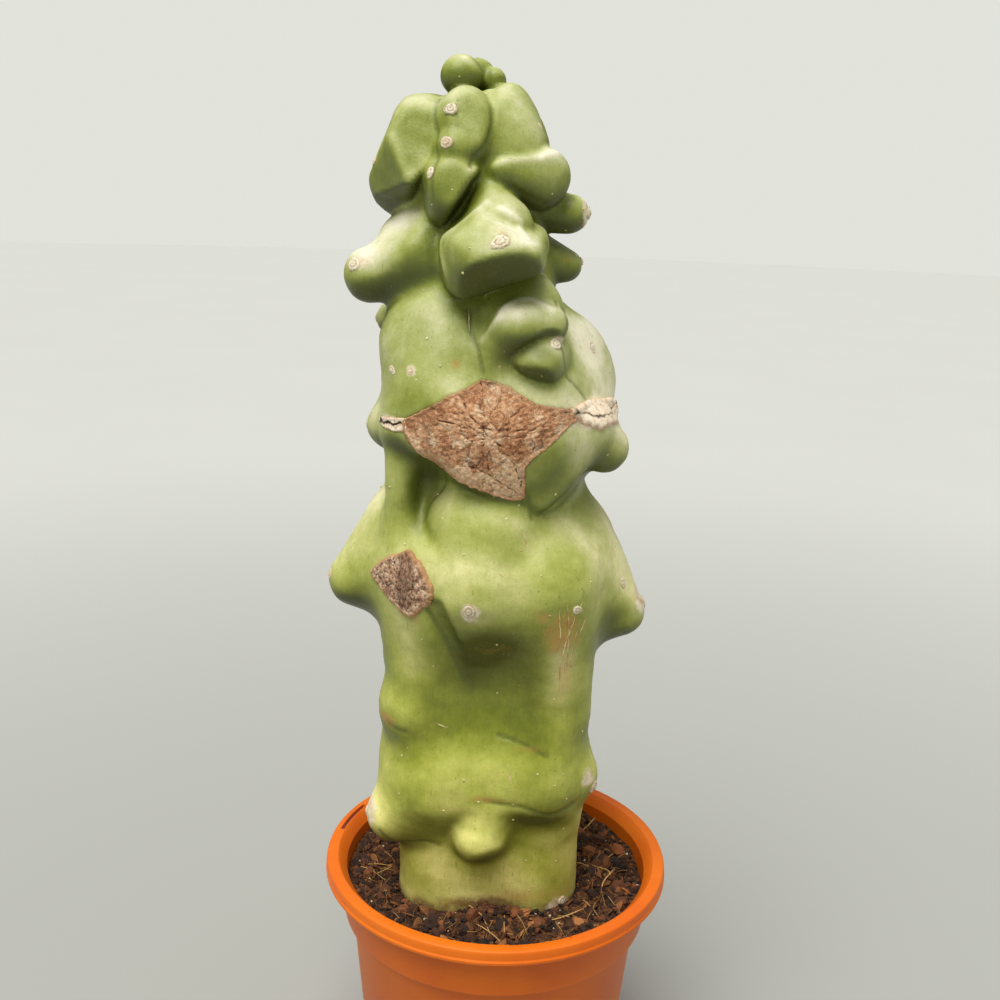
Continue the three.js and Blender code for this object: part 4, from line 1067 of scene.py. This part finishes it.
# The small one on the left arm.
cork_crust("cork_small", [
    (-59.5, -31.6, 290), (-53.5, -37.9, 297.5), (-43, -44.3, 303.5), (-38.3, -48.7, 301),
    (-35.4, -51.6, 297), (-32, -54.6, 291), (-32.5, -54.3, 285.5), (-36, -53, 282.5),
    (-40.4, -50.4, 277.4), (-44, -48.4, 278.4), (-48.3, -45.4, 281.8), (-53.7, -39.2, 285)], [
    [(-57, -35, 290), (-50, -44, 290.4), (-45, -48, 287.5), (-43, -49.3, 281)],
    [(-35, -52, 296), (-39, -51, 293), (-42, -50, 287.4), (-43.5, -49, 281)],
    [(-46, -44, 301), (-45, -47, 294), (-45, -48, 287.5)]],
    pitted_cork, rings=30, around=200, lip=0.35, rough=0.3, lip_wide=0.4, plated=0.2, seed=9,
    strip=[(-43, -46, 301), (-42.5, -49, 292), (-43, -49, 284)])

# Split lips: the same cork where it is new, dried cream to pink, dark down in the split.
split_lips, tree, at = new_material("pale_split_lips")
fleck = add(tree, "TexNoise", {"Vector": at, "Scale": 1 / 0.002, "Detail": 4, "Roughness": 0.7})
read = {name: add(tree, "Attribute", out="Fac", attribute_name=name)
        for name in ("from_edge", "crack")}
cream = add(tree, "ValToRGB", {0: fleck}, stops=[(0.32, "#C79A74"), (0.42, "#E3C8A8"), (0.54, "#F0E2CC")])
cream = veil(tree, cream, "#B9763F", read["from_edge"], (0.1, 0.6), (0.35, 0.0))
cream = veil(tree, cream, "#3E2314", read["crack"], (0.5, 1.0), (0.97, 0.0))
surface_of(tree, cream, 0.8, (fleck, 0.7, 0.0004))

# The two seams at the ends of the fold, where the skin split and its lips dried pale.
cork_crust("cork_seam_right", [
    (25, -45.5, 368), (30, -39, 370), (34, -33, 370.5), (38, -28, 370), (43, -14, 368.5), (46, -8, 366.5),
    (47, -8, 363), (46, -14, 360.5), (44, -26, 360), (41.5, -32.5, 361), (37, -39.5, 360.5),
    (33, -41.5, 362), (28, -43, 364.5)], [
    [(26, -44.5, 367), (30, -41, 366.3), (33, -40, 364.7), (36, -38.5, 364.2), (39, -35, 364.4),
     (41.5, -28, 363.8), (43.5, -17, 365.2), (46, -9, 366)]],
    split_lips, rings=20, around=160, lip=0.1, rough=0.12, plated=0, seed=14)
cork_crust("cork_seam_left", [
    (-44, -44.5, 362.5), (-49, -41, 362), (-54, -36, 361), (-58, -29, 360), (-59, -27, 358),
    (-54, -35, 356.2), (-49, -41, 356), (-44.5, -44, 356.5)], [
    [(-45, -44, 359.4), (-47.5, -42, 360.4), (-50, -40, 358.4), (-52.5, -37, 359.6), (-55, -34, 358.2),
     (-58, -29, 358.8)]],
    split_lips, rings=18, around=140, lip=0.25, rough=0.12, plated=0, seed=21)

# AREOLES. The spineless pads that sit on the knobs: an oval of pale felt that hardened to
# cork, with a dark ring round a dry middle. Each is its own little mound on the skin.
def felt_pad(place, wide, tall, seed, twist):
    """One pad, domed from a sphere and set square on the skin."""
    draw = random.Random(seed)
    only()
    bpy.ops.mesh.primitive_uv_sphere_add(segments=28, ring_count=18, radius=1)
    pad = bpy.context.object
    co = np.array([v.co for v in pad.data.vertices])
    out = np.hypot(co[:, 0], co[:, 1])
    round_it = np.arctan2(co[:, 1], co[:, 0])
    wobble = 1 + sum(much * np.sin(waves * round_it + draw.uniform(0, 6))
                     for much, waves in ((0.07, 2), (0.06, 3), (0.03, 7)))
    top = co[:, 2] > 0
    lift = co[:, 2] * np.where(top, 0.34, 0.55)
    lift += np.where(top, -0.16 * np.exp(-((out - 0.52) / 0.09) ** 2)
                     - 0.10 * np.exp(-(out / 0.16) ** 2) + 0.05 * np.exp(-((out - 0.32) / 0.12) ** 2), 0)
    flat = np.stack((co[:, 0] * wobble * wide, co[:, 1] * wobble * tall, lift * min(wide, tall)), 1) / 2
    seat = onto_skin(np.float32(place)[None])
    outward, side, rise = ways_from(seat, 1.5)
    turn = math.radians(twist)
    across = side * math.cos(turn) + rise * math.sin(turn)
    along = rise * math.cos(turn) - side * math.sin(turn)
    p = seat + flat[:, :1] * across + flat[:, 1:2] * along
    p = np.where(top[:, None], p - slope(p, 1.0) * np.clip(depth(p), -1.2, 1.2)[:, None], p)
    p = p + flat[:, 2:] * outward
    for vertex, here in zip(pad.data.vertices, p / 1000):
        vertex.co = here
    paint(pad, "out", out)
    paint(pad, "felt", np.full(len(out), draw.random()))
    pad.data.shade_smooth()
    return pad


def joined(name, pieces):
    """Makes one object of many."""
    only(*pieces)
    bpy.ops.object.join()
    whole = bpy.context.object
    whole.name = whole.data.name = name
    whole.matrix_world = Matrix.Identity(4)
    return whole


# Areole felt: short dense hairs turned to cork, cream with a grey or rusty cast, matt.
felt, tree, at = new_material("areole_felt")
tuft = add(tree, "TexNoise", {"Vector": at, "Scale": 1 / 0.0011, "Detail": 3, "Roughness": 0.7})
out = add(tree, "Attribute", out="Fac", attribute_name="out")
kind = add(tree, "Attribute", out="Fac", attribute_name="felt")
cream = add(tree, "ValToRGB", {0: tuft}, stops=[
    (0.32, "#BDA57D"), (0.46, "#E2D3B0"), (0.62, "#F4EDDA")])
cream = veil(tree, cream, "#B98A5E", kind, (0.5, 1.0), (0.0, 0.35))
wavy = add(tree, "Math", {0: tuft, 1: 0.22, 2: out}, operation="MULTIPLY_ADD")
dark = add(tree, "ValToRGB", {0: wavy}, stops=[(where, (much, much, much, 1)) for where, much in (
    (0.0, 0.6), (0.16, 0.2), (0.34, 0.0), (0.56, 0.1), (0.62, 0.85), (0.67, 0.05), (0.98, 0.0),
    (1.0, 0.25))])
cream = add(tree, "Mix", {0: dark, 6: cream, 7: "#4A3426"}, 2, data_type="RGBA")
surface_of(tree, cream, 0.9, (tuft, 0.8, 0.0003))

# Places, widths and heights in millimetres, and how far each is twisted in degrees. The
# first ones face the front, and the rest sit on the knobs of the sides and the back.
pads = [
    ((-29.3, -38, 489.6), 5.8, 5.0, 20), ((-31.6, -38, 474.8), 5.8, 5.6, 10),
    ((-38.4, -38, 463), 4.6, 5.2, 0), ((-7.6, -62, 437.7), 8.4, 6.2, 25),
    ((-70, -22, 424.2), 6.0, 7.2, 30), ((-51.5, -33, 381), 5.0, 4.0, -20), ((-43, -41, 382), 3.8, 3.8, 0),
    ((16.2, -46, 395.5), 5.0, 5.4, 0), ((34.1, -11, 391), 5.0, 6.6, 0), ((-15.5, -62, 284), 5.4, 6.8, 10),
    ((30.5, -52, 283), 5.0, 4.0, 0), ((42, -28, 187.6), 6.4, 7.0, 0), ((-60, -24, 167), 5.4, 6.0, 0),
    ((33.5, -33, 126.5), 5.0, 6.0, 15), ((59.9, -25, 287.6), 3.6, 4.4, 0), ((66, -9, 273), 4.4, 6.0, 0),
    ((30.5, -6, 448), 4.4, 5.2, 0), ((28.5, 4, 427), 3.4, 3.8, 0), ((13, -18, 486), 2.6, 3.2, 0),
    ((17, -10, 476), 2.6, 3.4, 0), ((-82, -12, 282), 5.0, 5.6, 0), ((-66, -4, 352), 4.6, 5.0, 0),
    ((50, -8, 346), 4.6, 5.0, 0), ((-26, 46, 396), 4.6, 5.2, 0), ((13, 46, 389), 4.4, 5.0, 0),
    ((-11, 46, 428), 5.0, 5.6, 0), ((-50, 26, 441), 4.4, 4.8, 0), ((-52, 40, 416), 4.4, 5.0, 0),
    ((-20, 37, 455), 3.8, 4.4, 0), ((-48, 47, 352), 4.8, 5.2, 0), ((32, 48, 349), 4.8, 5.4, 0),
    ((-9, 55, 357), 4.8, 5.2, 0), ((2, 68, 277), 5.2, 6.0, 0), ((-54, 52, 282), 5.0, 5.4, 0),
    ((48, 49, 272), 5.0, 5.6, 0), ((-42, 44, 170), 5.0, 5.4, 0), ((36, 43, 172), 5.0, 5.6, 0),
    ((-2, 54, 167), 4.8, 5.4, 0), ((-58, 16, 398), 4.0, 4.4, 0), ((-60, -12, 466), 3.4, 4.2, 0),
    ((-52, 12, 480), 3.2, 4.0, 0),
    ((-36, 30, 470), 3.6, 4.2, 0), ((-8, 30, 478), 3.4, 4.0, 0), ((52, -6, 176), 4.6, 5.2, 0)]
areoles = joined("areoles", [felt_pad(place, wide, tall, 40 + i, twist)
                             for i, (place, wide, tall, twist) in enumerate(pads)])
areoles.data.materials.append(felt)
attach(areoles, "root")

# LENTICELS. The breathing pores of the skin: hard cream dots, half a millimetre to over one
# across, each a little dome that stands out of the rind.
LENTICELS = 190
seen = [
    (-6.3, -46.8, 386.3), (4.4, -48.5, 387.1), (20.2, -45.2, 331.4), (5.2, -52.5, 327),
    (9.5, -52.1, 322.8), (0.2, -55.4, 323.9), (32.8, -32.9, 315.3), (26.3, -5, 403.9),
    (-39.2, -30, 414.6), (-31, -50, 252), (-4, -58, 262), (28, -42, 200), (25, -46, 196), (29, -40, 188),
    (-16, -48, 198), (-9, -46, 188), (8, -50, 176),
    (31, -36, 168), (27, -38, 158), (14, -40, 152), (30, -37, 150), (-20, -40, 152), (-8, -41, 142),
    (16, -40, 136)]
scatter = np.random.default_rng(77)
kept = [np.float32(p) for p in seen]
for i in scatter.permutation(len(points)):
    if len(kept) >= LENTICELS:
        break
    if tight[i] > 0.55 or points[i, 2] < 134 or edge[i] > 0.75:
        continue
    if min(np.abs(points[i] - k).sum() for k in kept) > scatter.choice((7, 9, 14)):
        kept.append(points[i])
kept = onto_skin(kept)
dots = []
for place, outward in zip(kept, slope(kept)):
    only()
    bpy.ops.mesh.primitive_ico_sphere_add(subdivisions=2, radius=scatter.uniform(0.28, 0.62) / 1000)
    dot = bpy.context.object
    low = Matrix.Diagonal((1, scatter.uniform(0.8, 1.1), 0.55, 1))
    stand = Vector(outward.tolist()).to_track_quat("Z", "Y").to_matrix().to_4x4()
    dot.data.transform(Matrix.Translation(Vector((place / 1000).tolist())) @ stand @ low)
    dots.append(dot)
lenticels = joined("lenticels", dots)
lenticels.data.shade_smooth()

# Lenticel cork: waxy yellow cream, satin, a little browner on some.
dot_cork, tree, at = new_material("lenticel_cork")
tone = add(tree, "TexNoise", {"Vector": at, "Scale": 1 / 0.006, "Detail": 2})
cream = add(tree, "ValToRGB", {0: tone}, stops=[
    (0.36, "#B59A5E"), (0.48, "#CFC585"), (0.62, "#E2DCAE")])
surface_of(tree, cream, 0.6)
lenticels.data.materials.append(dot_cork)
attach(lenticels, "root")

# SCARS. Hairlines of the same cork where something once scraped down the right rib and
# over the belly: thin raised threads, laid on the skin and pointed at both ends.
scratches = [
    [(35, -49, 291), (31, -53, 282), (27, -53, 269), (25, -50, 256), (25, -47, 242)],
    [(40, -43, 286), (35, -49, 277), (30, -50, 264)], [(26, -56, 288), (28, -52, 269), (28, -48, 250)],
    [(22, -54, 284), (24, -53, 270), (23, -51, 262)], [(31, -50, 276), (29, -49, 262), (30, -47, 250)],
    [(-20, -37, 408), (-19, -41, 399)], [(-4, -58, 300), (2, -59, 297)], [(8, -53, 318), (10, -54, 308)],
    [(-61, -24, 435), (-57, -26, 430)], [(-30, -48, 224), (-22, -47, 221)], [(4, -45, 205), (6, -46, 196)]]
threads = []
for line in scratches:
    path = laid(line)
    path = path + slope(path) * 0.08 + np.random.default_rng(len(path)).normal(0, 0.12, path.shape)
    thick = 0.22 * np.sin(np.linspace(0.12, math.pi - 0.12, len(path)))
    ahead = np.gradient(path, axis=0)
    ahead = ahead / np.linalg.norm(ahead, axis=1, keepdims=True)
    out = slope(path)
    across = np.cross(ahead, out)
    rings = np.stack([path + thick[:, None] * (across * math.cos(a) * 1.3 + out * math.sin(a))
                      for a in np.arange(6) * math.pi / 3], 1)
    ends = [path[0] - 0.5 * ahead[0], path[-1] + 0.5 * ahead[-1]]
    last = 6 * len(path)
    sides = [(6 * i + j, 6 * i + 6 + j, 6 * i + 6 + (j + 1) % 6, 6 * i + (j + 1) % 6)
             for i in range(len(path) - 1) for j in range(6)]
    sides += [(last, j, (j + 1) % 6) for j in range(6)]
    sides += [(last + 1, last - 6 + (j + 1) % 6, last - 6 + j) for j in range(6)]
    threads.append(mesh_of("scratch_scar", np.vstack((rings.reshape(-1, 3), ends)), sides))
scars = joined("scratch_scars", threads)
bpy.ops.object.mode_set(mode="EDIT")
bpy.ops.mesh.select_all(action="SELECT")
bpy.ops.mesh.normals_make_consistent(inside=False)
bpy.ops.object.mode_set(mode="OBJECT")

# Scar cork: dry, cream to light tan.
scar_cork, tree, at = new_material("hairline_scar_cork")
tone = add(tree, "TexNoise", {"Vector": at, "Scale": 1 / 0.004, "Detail": 2})
cream = add(tree, "ValToRGB", {0: tone}, stops=[(0.38, "#B68F55"), (0.62, "#E4D6A0")])
surface_of(tree, cream, 0.7)
scars.data.materials.append(scar_cork)
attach(scars, "root")
